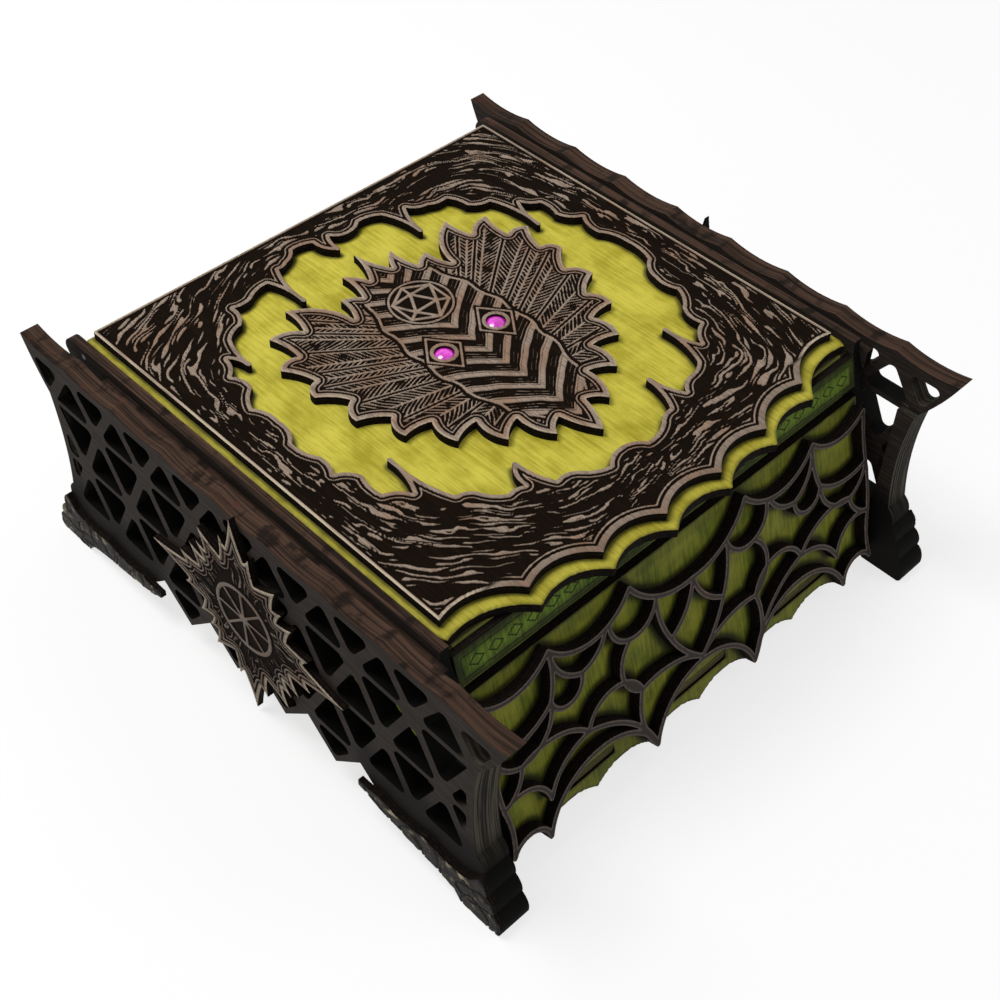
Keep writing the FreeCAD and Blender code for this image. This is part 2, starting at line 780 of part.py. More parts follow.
def web_face():
    """The whole fret as one flat face, as wide and as high as the drawer front lets it be."""
    width = float(size("web_strand"))
    across = float(front_half) / 107.5
    along = float(panel_end - panel_start - size("web_top_margin") * 2) / 80.0
    faces = []
    for start, end, sag in web_strands():
        for flip in (1, -1):
            a = (start[0] * flip * across, start[1] * along)
            b = (end[0] * flip * across, end[1] * along)
            faces += strand(a, b, sag * flip * across, width)
    return faces[0].multiFuse(faces[1:]).removeSplitter()


def make_web():
    """Two sheets of the same fret, one on the other, on the drawer front."""
    face = web_face()
    proud = size("drawer_front_gap") + ply
    for label in ("web_back", "web_front"):
        shape = face.extrude(FreeCAD.Vector(0, 0, float(web_ply)))
        keep(solid(label, shape, leaning_at(proud, panel_start + size("web_top_margin"))))
        proud = proud + web_ply


# ---------------------------------------------------------------- side frames
def foot_edge():
    """The outer edge of the front foot, from below the knee over its knuckles and toe to its heel."""
    knee = float(size("knee_height"))
    post = float(post_reach)
    toe = float(toe_reach)
    fall = knee - float(size("toe_height"))
    knuckles = 4
    points = []
    for share in (step / knuckles for step in range(1, knuckles + 1)):
        points.append((-(post + (toe - post) * share), knee - fall * share, -float(size("knuckle_bow"))))
    points.append((-toe + float(size("toe_round")), 0.0, -float(size("toe_round")) / 3))
    points.append((-float(heel_reach), 0.0))
    return points


def heel_top():
    """Where the front heel meets the arch under the frame."""
    return -float(heel_reach - size("heel_slope")), float(size("tooth_tip")) * 0.45


def foot_underside():
    """The stepped arch from the front heel up to the first tooth of the frame."""
    pitch = float(size("lattice_pitch"))
    tip = float(size("tooth_tip"))
    return [heel_top(), (-pitch * 3, tip * 0.85, 0.8), (-pitch * 2.5, tip * 1.05, 0.5)]


def frame_half():
    """The frame's left half outline, from the cornice's middle down to the lower edge's middle."""
    pitch = float(size("lattice_pitch"))
    top = float(frame_top)
    sag = float(size("cornice_scallop"))
    tip = float(frame_tip)
    post = float(post_reach)
    tooth = float(size("tooth_tip"))
    notch = float(size("lattice_first_row") - size("tooth_notch"))
    points = [(-pitch / 2, top)]
    points += [(-pitch * (step + 0.5), top, sag) for step in (1, 2, 3)]
    points.append((-tip, top, sag))
    points.append((-post, float(bracket_low), -float(size("bracket_bow"))))
    points.append((-post, float(size("knee_height")), float(size("post_bow"))))
    points += foot_edge() + foot_underside()
    for step in (2, 1):
        points.append((-pitch * step, notch))
        points.append((-pitch * (step - 0.5), tooth))
    points.append((0, notch))
    return points


def inset_triangle(corners, insets):
    """A triangle, anticlockwise, with the side after each corner moved in by its inset."""
    kept = list(corners)
    for (x0, y0), (x1, y1), inset in zip(corners, corners[1:] + corners[:1], insets):
        length = math.hypot(x1 - x0, y1 - y0)
        a = (y1 - y0) / length
        b = (x0 - x1) / length
        kept = clipped(kept, a, b, a * x0 + b * y0 - inset)
    return kept


def lattice_triangles():
    """Each triangle between hubs in staggered rows, as its row's number and its corners."""
    pitch = float(size("lattice_pitch"))
    first = float(size("lattice_first_row"))
    row = float(size("lattice_row"))
    rows = [first + row * step for step in range(3)]
    levels = [float(size("tooth_tip")), *rows, float(frame_top - size("lattice_head"))]
    reach = math.ceil(float(frame_tip) / pitch)
    for index, (low, high) in enumerate(zip(levels, levels[1:])):
        stagger = 0.5 if index % 2 == 0 else 0.0
        for step in range(-reach, reach):
            up = (step + stagger) * pitch
            down = (step + 0.5 - stagger) * pitch
            if index > 0:
                yield index, [(up, low), (up + pitch, low), (up + pitch / 2, high)]
            yield index, [(down + pitch, high), (down, high), (down + pitch / 2, low)]


def lattice_windows():
    """The openings of the lattice: its triangles, less the bars and what the frame keeps solid."""
    pitch = float(size("lattice_pitch"))
    insets = (float(size("cross_bar")) / 2, float(size("diagonal_bar")) / 2, float(size("diagonal_bar")) / 2)
    post = float(post_reach - size("post_width"))
    band = float(frame_top - size("top_band"))
    mound = float(size("plinth_height") + size("mound_height"))
    last_tooth = pitch * 1.6
    foot_start = pitch * 2.3
    windows = []
    for index, corners in lattice_triangles():
        middle = abs(sum(x for x, _ in corners) / 3)
        if index == 0 and middle > last_tooth:
            continue
        shape = inset_triangle(corners, insets)
        shape = clipped(shape, 1, 0, post)
        shape = clipped(shape, -1, 0, post)
        shape = clipped(shape, 0, 1, band)
        if index == 1 and middle > foot_start:
            shape = clipped(shape, 0, -1, -mound)
        if len(shape) > 2 and area(shape) > float(size("smallest_window")):
            windows.append(shape)
    return windows + bracket_windows()


def bracket_windows():
    """The opening in each end bracket, between the last diagonal and the sloping outer edge."""
    tip = float(frame_tip)
    post = float(post_reach)
    start = post - float(size("bracket_root"))
    high = float(frame_top - size("lattice_head"))
    low = float(bracket_low - size("cross_bar"))
    bar = float(size("diagonal_bar")) / 2
    edge = float(size("bracket_edge"))
    rear = inset_triangle([(start, high), (post, low), (tip, high)], (bar, bar * 1.3, edge))
    band = float(frame_top - size("top_band")) - edge * 1.5
    rear = clipped(rear, 0, 1, band)
    return [rear, [(-x, y) for x, y in reversed(rear)]]


def leg_outline():
    """The post and foot of the inner sheet at the front, from its top corner round to its heel."""
    top = float(bracket_low)
    post = float(post_reach)
    inner = post - float(size("leg_width"))
    points = [(-inner, top), (-post, top), (-post, float(size("knee_height")), float(size("post_bow")))]
    return [*points, *foot_edge(), heel_top(), (-inner, float(size("tooth_tip")) * 1.4)]


def plinth_outline():
    """The low stone-course plate on the outside of the front foot."""
    knee = float(size("knee_height"))
    post = float(post_reach)
    crest = float(size("plinth_height"))
    reach = float(size("plinth_reach"))
    shoulder = foot_edge()[0]
    points = [(shoulder[0], shoulder[1]), *foot_edge()[1:], *foot_underside()]
    points += [(-reach, float(size("tooth_tip")) * 1.5), (-reach, crest - 1.0)]
    stones = (0.6, -1.2, 1.6, -0.6)
    length = (post - reach) / (len(stones) + 1)
    for step, lift in enumerate(stones, start=1):
        points.append((-(reach + length * step), crest + lift, 0.6))
    points.append((-post + 1.0, crest + 2.0, 0.6))
    return points


def at_ends(points):
    """An outline of the front end, and its mirror image for the rear end, both anticlockwise."""
    padded = [(*p, 0.0)[:3] for p in points]
    sags = [sag for _, _, sag in padded]
    rear = [(-x, y, sag) for (x, y, _), sag in zip(padded[::-1], [0.0, *sags[:0:-1]])]
    return ("front", loop(padded)), ("rear", loop(rear))


def emblem_outline():
    """A compass star with barbs between its points, as its left half from the top: each pair is a
    share of its half length and of its half height."""
    quarter = [
        (0.0, 1.0), (-0.09, 0.66), (-0.15, 0.74), (-0.17, 0.50), (-0.39, 0.62), (-0.34, 0.42),
        (-0.44, 0.45), (-0.37, 0.31), (-0.52, 0.36), (-0.45, 0.18), (-0.66, 0.17), (-0.60, 0.09),
        (-1.0, 0.0),
    ]
    half_length = float(size("emblem_half_length"))
    emblem_low = size("emblem_floor_gap")
    emblem_high = frame_top + size("emblem_rise")
    half_height = float(emblem_high - emblem_low) / 2
    centre = float(emblem_high + emblem_low) / 2
    hollow = 0.5
    half = [(x * half_length, centre + y * half_height, hollow) for x, y in quarter]
    half += [(x * half_length, centre - y * half_height, hollow) for x, y in quarter[-2::-1]]
    return mirrored(half)


def stile_outline():
    """The cheek's front stile: it leans with the front and its outer edge is scalloped."""
    low = size("base_underside")
    high = frame_top
    edge_high = float(front_plane(high) - size("stile_lead"))
    edge_low = float(front_plane(low) - size("stile_lead"))
    low, high = float(low), float(high)
    width = float(size("stile_width"))
    count = 7
    points = [(edge_high + width, high), (edge_high, high)]
    for share in (step / count for step in range(1, count + 1)):
        y = edge_high + (edge_low - edge_high) * share
        points.append((y, high + (low - high) * share, float(size("stile_scallop"))))
    points.append((edge_low + width, low))
    return points


def rail_outline():
    """The cheek's top rail, from the front stile to a rounded end behind the hinge pin."""
    high = frame_top
    low = high - size("rail_depth")
    behind = size("stile_width") - size("stile_lead")
    end = float(lid_back + size("rail_tail"))
    nose = float(size("rail_nose"))
    bow = -nose * 0.28
    return [
        (end - nose, high),
        (front_plane(high) + behind, high),
        (front_plane(low) + behind, low),
        (end - nose * 2, low),
        (end, float(high) - nose, bow),
        (end - nose, high, bow),
    ]


def make_cheeks():
    """The dark strips between a side wall and its frame: front stile, top rail and rear stile."""
    low = size("base_underside")
    high = frame_top - size("rail_depth")
    for side, start in both_sides(wall_face, ply):
        keep(plate(f"front_stile_{side}", [loop(stile_outline())], ply, upright_at(start)))
        blank = plate(f"cheek_rail_blank_{side}", [loop(rail_outline())], ply, upright_at(start))
        bore = rod(f"cheek_bore_{side}", start - 1, ply + 2, size("hinge_pin_radius"), hinge_y, hinge_z)
        keep(cut(f"cheek_rail_{side}", blank, [bore]))
        edge = (back_face - size("stile_width"), back_face)
        keep(board(f"rear_stile_{side}", (start, start + ply), edge, (low, high)))


def make_side_frames():
    """Each side frame from the inside out: legs and spacer, core, lattice, emblem and plinths."""
    outline = loop(mirrored(frame_half(), near_sag=float(size("cornice_scallop"))))
    windows = [rounded(w, float(size("window_corner"))) for w in lattice_windows()]
    spacer_half = size("spacer_length") / 2
    spacer_top = frame_top - size("top_band")
    for side, start in both_sides(cheek_face, size("frame_gap")):
        for end, leg in at_ends(leg_outline()):
            keep(plate(f"leg_{end}_{side}", [leg], size("frame_gap"), upright_at(start)))
        across = (start, start + size("frame_gap"))
        levels = (spacer_top - size("spacer_height"), spacer_top)
        keep(board(f"spacer_{side}", across, (-spacer_half, spacer_half), levels))
    for side, start in both_sides(core_start, ply):
        keep(plate(f"frame_core_{side}", [outline, *windows], ply, upright_at(start)))
    for side, start in both_sides(lattice_start, ply):
        keep(plate(f"lattice_{side}", [outline, *windows], ply, upright_at(start)))
    for side, start in both_sides(lattice_face, thin_ply):
        keep(plate(f"emblem_{side}", [loop(emblem_outline())], thin_ply, upright_at(start)))
        for end, plinth in at_ends(plinth_outline()):
            keep(plate(f"plinth_{end}_{side}", [plinth], thin_ply, upright_at(start)))


def check_and_export():
    doc.recompute()
    for item in doc.Objects:
        if any(word in item.State for word in ("Invalid", "Error")):
            raise RuntimeError(f"{item.Label} failed to build: {item.State}")
    for part in parts:
        if part.Shape.isNull() or not part.Shape.isValid() or not part.Shape.Solids:
            raise RuntimeError(f"{part.Label} has no valid solid")
    os.makedirs("parts", exist_ok=True)
    for part in parts:
        part.Shape.exportStep(f"parts/{part.Label}.step")


make_shell()
make_tray_dividers()
make_lid()
make_hinge_pins()
make_drawer()
make_web()
make_cheeks()
make_side_frames()
check_and_export()
print(len(parts), "nodes written")
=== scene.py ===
import math
from collections import defaultdict

import bpy
import numpy as np
from mathutils import Matrix, Vector
from mathutils.geometry import delaunay_2d_cdt


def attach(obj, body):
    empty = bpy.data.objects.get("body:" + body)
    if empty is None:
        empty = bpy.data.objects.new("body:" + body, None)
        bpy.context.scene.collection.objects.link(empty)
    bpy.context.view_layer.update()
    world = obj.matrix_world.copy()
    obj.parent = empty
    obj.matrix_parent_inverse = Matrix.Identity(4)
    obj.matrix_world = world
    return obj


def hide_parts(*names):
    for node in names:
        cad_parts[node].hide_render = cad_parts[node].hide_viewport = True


# Looks of the plywood dice chest: engraved sheets as real relief, stained green panels, charred
# edges and dark pierced side frames. Metres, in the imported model's own frame.

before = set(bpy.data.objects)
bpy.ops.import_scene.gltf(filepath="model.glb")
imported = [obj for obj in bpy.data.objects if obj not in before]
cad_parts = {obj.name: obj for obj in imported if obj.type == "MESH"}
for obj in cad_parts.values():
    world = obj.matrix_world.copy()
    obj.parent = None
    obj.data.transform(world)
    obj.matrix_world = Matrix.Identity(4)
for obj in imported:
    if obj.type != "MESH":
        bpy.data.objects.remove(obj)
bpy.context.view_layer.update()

MM = 0.001
SIDES = ("right", "left")
ENDS = ("front", "rear")
LEAN = math.radians(15.4)
FLUSH = 0.02 * MM  # corners no further than this below a sheet's face count as on it
SMALLEST_HOLE = 3.8 * MM  # smaller ones between strands close up with the cutting's char
FARTHEST_GAP = 12 * MM  # distances in from an edge are measured up to this
ROUND_EDGE = 0.3 * MM  # how far a carved face falls away at its edge
NO_LENGTH = 1e-7  # metres: less than this is nothing


# ---------------------------------------------------------------- patterns
def smooth(low, high, value):
    """0 below low, 1 above high, and a smooth rise between."""
    share = np.clip((value - low) / (high - low), 0.0, 1.0)
    return share * share * (3.0 - 2.0 * share)


def band(value, low, high, soft=0.15):
    """1 where value lies between low and high, with soft ends."""
    return smooth(low - soft, low + soft, value) * (1.0 - smooth(high - soft, high + soft, value))


def gap_to_line(px, py, dx, dy):
    """Distance from points to a straight line from the origin to (dx, dy), and the share along it."""
    share = np.clip((px * dx + py * dy) / max(dx * dx + dy * dy, 1e-18), 0.0, 1.0)
    return np.hypot(px - share * dx, py - share * dy), share


class Noise:
    """Seeded gradient noise over the plane, about -1 to 1."""

    cells = 256  # the pattern repeats after this many

    def __init__(self, seed):
        rng = np.random.default_rng(seed)
        angle = rng.uniform(0.0, 2.0 * math.pi, (self.cells, self.cells))
        self.gradient = np.stack([np.cos(angle), np.sin(angle)], axis=-1)

    def __call__(self, x, y):
        x0 = np.floor(x).astype(int)
        y0 = np.floor(y).astype(int)
        fx, fy = x - x0, y - y0
        ease_x, ease_y = (f * f * f * (f * (f * 6.0 - 15.0) + 10.0) for f in (fx, fy))
        rows = []
        for step_y in (0, 1):
            ends = []
            for step_x in (0, 1):
                gradient = self.gradient[(x0 + step_x) % self.cells, (y0 + step_y) % self.cells]
                ends.append(gradient[..., 0] * (fx - step_x) + gradient[..., 1] * (fy - step_y))
            rows.append(ends[0] + (ends[1] - ends[0]) * ease_x)
        return (rows[0] + (rows[1] - rows[0]) * ease_y) * 1.5

    def cloud(self, x, y, octaves=3):
        """Noise with finer noise laid over it."""
        total = sum(self(x * 2.0**k + 17.0 * k, y * 2.0**k - 9.0 * k) / 2.0**k for k in range(octaves))
        return total / (2.0 - 0.5 ** (octaves - 1))


# ---------------------------------------------------------------- flat outlines of the sheets
class Sheet:
    """A flat plane with u across, v up and n out, in which a sheet's outline is read and drawn."""

    def __init__(self, u, v):
        self.u = np.array(u, float)
        self.v = np.array(v, float)
        self.n = np.cross(self.u, self.v)

    def flat(self, points):
        return np.stack([points @ self.u, points @ self.v], axis=-1)

    def height(self, points):
        return points @ self.n

    def place(self, flat, height):
        return flat[:, :1] * self.u + flat[:, 1:2] * self.v + np.asarray(height).reshape(-1, 1) * self.n


LEVEL = Sheet((1, 0, 0), (0, 1, 0))
LEANING = Sheet((1, 0, 0), (0, math.sin(LEAN), math.cos(LEAN)))
FLANK = {"right": Sheet((0, 1, 0), (0, 0, 1)), "left": Sheet((0, -1, 0), (0, 0, 1))}


def points_of(node):
    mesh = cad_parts[node].data
    points = np.empty(len(mesh.vertices) * 3)
    mesh.vertices.foreach_get("co", points)
    return points.reshape(-1, 3)


def outline(node, sheet):
    """The loops round a node's outer face, each a closed run of flat points, the outside first."""
    points = points_of(node)
    height = sheet.height(points)
    top = height.max()
    flat = np.round(sheet.flat(points), 6)
    turns = defaultdict(int)
    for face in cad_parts[node].data.polygons:
        if all(height[i] > top - FLUSH for i in face.vertices):
            ring = [tuple(flat[i]) for i in face.vertices]
            for a, b in zip(ring, ring[1:] + ring[:1]):
                turns[(a, b)] += 1
    after = {a: b for (a, b) in turns if (b, a) not in turns and a != b}
    loops = []
    while after:
        start, here = after.popitem()
        ring = [start]
        while here != start:
            ring.append(here)
            here = after.pop(here)
        loops.append(np.array(ring))
    loops = [ring for ring in loops if np.ptp(ring, axis=0).max() > SMALLEST_HOLE]
    return sorted(loops, key=lambda ring: -np.ptp(ring[:, 0]) * np.ptp(ring[:, 1]))


class Field:
    """A grid over a flat outline, with the distance in from its edges, in metres."""

    def __init__(self, low, high, step):
        counts = np.ceil((high - low) / step).astype(int) + 3
        self.low = low - step
        self.step = step
        across, up = (start + step * np.arange(count) for start, count in zip(self.low, counts))
        self.x, self.y = np.meshgrid(across, up, indexing="ij")

    def near(self, ring, reach):
        """Distance to a loop, measured up to reach."""
        distance = np.full(self.x.shape, reach)
        for a, b in zip(ring, np.roll(ring, -1, axis=0)):
            low = np.floor((np.minimum(a, b) - reach - self.low) / self.step).astype(int)
            high = np.ceil((np.maximum(a, b) + reach - self.low) / self.step).astype(int) + 1
            window = tuple(slice(max(lo, 0), max(hi, 0)) for lo, hi in zip(low, high))
            gap, _ = gap_to_line(self.x[window] - a[0], self.y[window] - a[1], *(b - a))
            distance[window] = np.minimum(distance[window], gap)
        return distance

    def inside(self, ring):
        """Which grid points lie inside a loop, by counting the crossings to their left."""
        crossings = np.zeros((self.x.shape[0] + 1, self.x.shape[1]), int)
        for a, b in zip(ring, np.roll(ring, -1, axis=0)):
            (x0, y0), (x1, y1) = sorted((a, b), key=lambda p: p[1])
            rows = np.nonzero((self.y[0] >= y0) & (self.y[0] < y1))[0]
            if len(rows):
                x = x0 + (x1 - x0) * (self.y[0][rows] - y0) / (y1 - y0)
                column = np.clip(np.ceil((x - self.low[0]) / self.step).astype(int), 0, self.x.shape[0])
                np.add.at(crossings, (column, rows), 1)
        return np.cumsum(crossings, axis=0)[:-1] % 2 == 1


# ---------------------------------------------------------------- engraved sheets as meshes
def add_mesh(name, points, faces, materials, body, stands_for):
    """Adds a piece that rides on a body in place of some nodes, and gives its mesh."""
    mesh = bpy.data.meshes.new(name)
    mesh.from_pydata(points, [], faces)
    for material in materials:
        mesh.materials.append(material)
    piece = bpy.data.objects.new(name, mesh)
    bpy.context.scene.collection.objects.link(piece)
    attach(piece, body)
    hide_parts(*stands_for)
    return mesh


def signed_gap(field, loops, gaps):
    """Distance in from the sheet's edges, below 0 outside the sheet and in its holes."""
    solid = field.inside(loops[0])
    for ring in loops[1:]:
        solid &= ~field.inside(ring)
    gap = np.maximum(np.minimum.reduce(gaps), NO_LENGTH)
    return np.where(solid, gap, -gap)


def close_below(flat, rim, loops):
    """Which points the underside repeats, the walls down to it and the faces that close it."""
    repeated = sorted({i for pair in rim for i in pair})
    order = {i: k for k, i in enumerate(repeated)}
    under = [len(flat) + k for k in range(len(repeated))]
    walls = [(b, a, under[order[a]], under[order[b]]) for a, b in rim]
    cut = delaunay_2d_cdt([Vector(point) for point in flat[repeated].tolist()],
                          [(order[a], order[b]) for a, b in rim], [], 1, NO_LENGTH)
    return repeated, walls, cap_faces(cut, under, loops)


def mark_faces(mesh, top, walls, materials):
    """Gives the carved face, the walls and the underside their materials, and smooths the first."""
    kinds = np.zeros(len(mesh.polygons), int)
    kinds[top:] = 1
    kinds[top + walls:] = materials - 1
    mesh.polygons.foreach_set("material_index", kinds)
    mesh.polygons.foreach_set("use_smooth", kinds == 0)


def store(mesh, values_by_name, below):
    """Stores what the finish reads at each point, with 0 at the points of the underside."""
    for name, values in values_by_name.items():
        attribute = mesh.attributes.new(name, "FLOAT", "POINT")
        attribute.data.foreach_set("value", np.concatenate([values, np.zeros(below)]))


def carve(name, node, sheet, step, depth, pattern, materials, body):
    """Builds a sheet with a carved face from a node's outline.

    pattern takes the flat x and y in millimetres and the distance to each loop, and gives the
    carving's height from 0 to 1 and, by name, the other values that its finish reads."""
    loops = outline(node, sheet)
    field = Field(loops[0].min(axis=0), loops[0].max(axis=0), step)
    gaps = [field.near(ring, FARTHEST_GAP) for ring in loops]
    flat, faces, rim = contour_mesh(field, signed_gap(field, loops, gaps))
    gaps = [sample(field, gap, flat) / MM for gap in gaps]
    carving, others = pattern(flat[:, 0] / MM, flat[:, 1] / MM, gaps)
    rounding = 1.0 - smooth(0.0, ROUND_EDGE * 1.6, np.minimum.reduce(gaps) * MM)
    fall = depth * (1.0 - carving) + ROUND_EDGE * rounding
    height = sheet.height(points_of(node))
    top = sheet.place(flat, height.max() - fall)
    repeated, walls, cap = close_below(flat, rim, loops)
    bottom = sheet.place(flat[repeated], height.min())
    mesh = add_mesh(name, np.concatenate([top, bottom]).tolist(), [*faces, *walls, *cap], materials, body,
                    [node])
    mark_faces(mesh, len(faces), len(walls), len(materials))
    store(mesh, {"carving": carving, **others}, len(repeated))


def sample(field, values, flat):
    """Values of a grid at flat points, between its four nearest nodes."""
    place = (flat - field.low) / field.step
    base = np.clip(np.floor(place).astype(int), 0, np.array(values.shape) - 2)
    fx, fy = (place - base).T
    i, j = base.T
    low = values[i, j] * (1 - fx) + values[i + 1, j] * fx
    high = values[i, j + 1] * (1 - fx) + values[i + 1, j + 1] * fx
    return low * (1 - fy) + high * fy


def edge_crossings(field, signed, axis, first):
    """Where the outline crosses the grid along an axis: a table of numbers, from first on, and the points."""
    near = tuple(slice(None, -1) if k == axis else slice(None) for k in (0, 1))
    far = tuple(slice(1, None) if k == axis else slice(None) for k in (0, 1))
    cut = (signed[near] > 0) != (signed[far] > 0)
    share = signed[near][cut] / (signed[near][cut] - signed[far][cut])
    x = field.x[near][cut] + (field.x[far][cut] - field.x[near][cut]) * share
    y = field.y[near][cut] + (field.y[far][cut] - field.y[near][cut]) * share
    table = np.full(cut.shape, -1)
    table[cut] = first + np.arange(cut.sum())
    return table, np.stack([x, y], axis=-1)


def cut_cell(corners, sides):
    """A grid cell that the outline crosses: its ring of points, and the outline's pairs in it."""
    ring, crossed = [], []
    for corner, side in zip(corners, sides):
        if corner >= 0:
            ring.append(corner)
        if side >= 0:
            ring.append(side)
            crossed.append((side, corner >= 0))
    pairs = [(a, b) for (a, leaving), (b, _) in zip(crossed, crossed[1:] + crossed[:1]) if leaving]
    return ring, pairs


def contour_mesh(field, signed):
    """Grid cells inside the outline, cut where they cross it: points, faces and the edge's pairs."""
    inside = signed > 0
    number = np.full(inside.shape, -1)
    number[inside] = np.arange(inside.sum())
    points, tables = [np.stack([field.x[inside], field.y[inside]], axis=-1)], []
    for axis in (0, 1):
        table, crossed = edge_crossings(field, signed, axis, sum(map(len, points)))
        tables.append(table)
        points.append(crossed)
    corners = [number[:-1, :-1], number[1:, :-1], number[1:, 1:], number[:-1, 1:]]
    sides = [tables[0][:, :-1], tables[1][1:, :], tables[0][:, 1:], tables[1][:-1, :]]
    held = sum((corner >= 0).astype(int) for corner in corners)
    faces = np.stack([corner[held == 4] for corner in corners], axis=-1).tolist()
    rim = []
    for i, j in zip(*np.nonzero((held > 0) & (held < 4))):
        ring, pairs = cut_cell([int(corner[i, j]) for corner in corners], [int(side[i, j]) for side in sides])
        faces.append(ring)
        rim += pairs
    return np.concatenate(points), faces, rim


def cap_faces(cut, names, loops):
    """The triangles of a cut sheet's underside that lie in its material, facing down."""
    vertices, triangles, origins = cut[0], cut[2], cut[3]
    outer, holes = loops[0], loops[1:]
    faces = []
    for triangle in triangles:
        centre = sum((Vector(vertices[i]) for i in triangle), Vector((0, 0))) / len(triangle)
        if holds(outer, centre) and not any(holds(ring, centre) for ring in holes):
            faces.append([names[origins[i][0]] for i in reversed(triangle)])
    return faces


def holds(ring, point):
    """Whether a loop holds a point."""
    x, y = point
    a, b = ring, np.roll(ring, -1, axis=0)
    spans = (a[:, 1] > y) != (b[:, 1] > y)
    if not spans.any():
        return False
    a, b = a[spans], b[spans]
    return bool(np.sum(a[:, 0] + (y - a[:, 1]) / (b[:, 1] - a[:, 1]) * (b[:, 0] - a[:, 0]) < x) % 2)


# ---------------------------------------------------------------- carving patterns
flames = Noise(11)
drift = Noise(23)
patches = Noise(37)
stones = Noise(51)
TURN = 2.0 * math.pi

# places in the patterns, in millimetres from the middle of the chest
OPENING_MIDDLE = 8.0  # how far back the middle of the lid frame's opening lies
SCALLOPS_START, SCALLOPS_FULL = -80.0, -86.0  # where the lid frame's scalloped rim takes over
DIE_CENTRE, DIE_SIZE, DIE_FACE = (0.0, 41.0), 11.5, 0.56
GEM_CENTRES = ((13.8, 12.7), (-13.8, 12.7))
FEATHER_TIPS = ((6, 84), (13, 74), (23, 63), (33, 66), (43, 73), (51, 68), (58, 64), (66, 47),
                (66, 37), (66, 27), (63, 7), (55, -11), (43, -26), (29, -38), (14, -48), (5, -60))
SPINE_HALF, SPINE_TOP, ROOT_PITCH = 4.0, 48.0, 5.6  # where the feathers spring from
STAR_HEIGHT = 56.5  # of the star's middle above the floor


def crags(across, along, spacing=3.9, length=18.0):
    """Thin crests, 0 to 1 high, that run along one way, taper, part and break off."""
    bend = 0.85 * drift.cloud(across / 9.0, along / 15.0) + 0.4 * flames(across / 3.0, along / 9.0 + 20.0)
    wave = np.cos(TURN * (across / spacing + bend))
    swell = 0.95 * flames(across / (1.2 * spacing) + 9.0, along / length)
    swell = swell + 0.3 * flames(across / 1.6, along / 7.0)
    heavy = smooth(0.8, 1.0, wave + 0.85 * swell)
    between = smooth(0.88, 1.04, -wave + 0.7 * flames(across / 2.5 + 60.0, along / 10.0))
    parted = smooth(-0.1, 0.3, drift(across / 7.0 + 40.0, along / 22.0))
    hollow = band(wave + 0.8 * swell, 1.32, 1.6, 0.06) * parted
    return np.maximum(heavy * (1.0 - 0.7 * hollow), 0.75 * between)


def flow_round_opening(x, y):
    """Across and along the lid frame's ridges, which run round the opening and sway at front and back."""
    squareness, radius = 3.2, 85.0
    y = y - OPENING_MIDDLE
    px, py = np.abs(x) + 1e-6, np.abs(y) + 1e-6
    reach = (px**squareness + py**squareness) ** (1.0 / squareness)
    sway = 4.5 * np.sin(x / 17.0) + 3.0 * np.sin(x / 41.0 + (y + OPENING_MIDDLE) / 30.0)
    return reach + smooth(0.5, 0.9, py / reach) * sway, np.arctan2(x, y) * radius


def overlay_pattern(x, y, gaps):
    """Ridges between a rim round the lid's frame, broad along its scallops, and one round its opening."""
    outer, opening = gaps[0], np.minimum.reduce(gaps[1:])
    scalloped = 1.0 - smooth(SCALLOPS_FULL, SCALLOPS_START, y)
    lines = np.maximum.reduce([
        band(outer, -1.0, 1.3) * (1.0 - scalloped),
        band(outer, -1.0, 2.5) * scalloped,
        band(outer, 3.6, 4.3) * scalloped,
        band(opening, -1.0, 1.7),
        band(opening, 2.7, 3.3, 0.2),
    ])
    free = smooth(1.9, 2.5, outer) * (1.0 - scalloped) + smooth(4.9, 5.6, outer) * scalloped
    free = free * smooth(4.0, 5.2, opening)
    carving = np.maximum(lines, crags(*flow_round_opening(x, y)) * free)
    warm = smooth(0.0, 0.5, patches(x / 21.0, y / 21.0))
    hatch = 0.5 + 0.5 * np.cos(TURN * (x + 0.4 * y) / 0.9)
    bare = band(outer, -1.0, 0.75) * (1.0 - scalloped)
    return carving, {"warm": warm, "hatch": hatch * band(outer, -1.0, 2.5) * scalloped, "bare": bare}


def edge_lines(x, y, edges, width):
    """A drawing of straight raised lines: 1 on them, 0 off them."""
    drawn = np.zeros_like(x)
    for (ax, ay), (bx, by) in edges:
        gap, _ = gap_to_line(x - ax, y - ay, bx - ax, by - ay)
        drawn = np.maximum(drawn, 1.0 - smooth(width * 0.5 - 0.1, width * 0.5 + 0.25, gap))
    return drawn


def polygon(centre, size, sides):
    """The corners of an even polygon, the first straight above its centre."""
    turns = [TURN * k / sides for k in range(sides)]
    return [(centre[0] + size * math.sin(turn), centre[1] + size * math.cos(turn)) for turn in turns]


def die_edges(centre, size):
    """The edges of a twenty-sided die seen face on."""
    rim, face = polygon(centre, size, 6), polygon(centre, DIE_FACE * size, 3)
    edges = list(zip(rim, rim[1:] + rim[:1])) + list(zip(face, face[1:] + face[:1]))
    for k in range(3):
        edges += [(face[k], rim[2 * k]), (face[k], rim[(2 * k + 1) % 6]), (face[k], rim[(2 * k - 1) % 6])]
    return edges


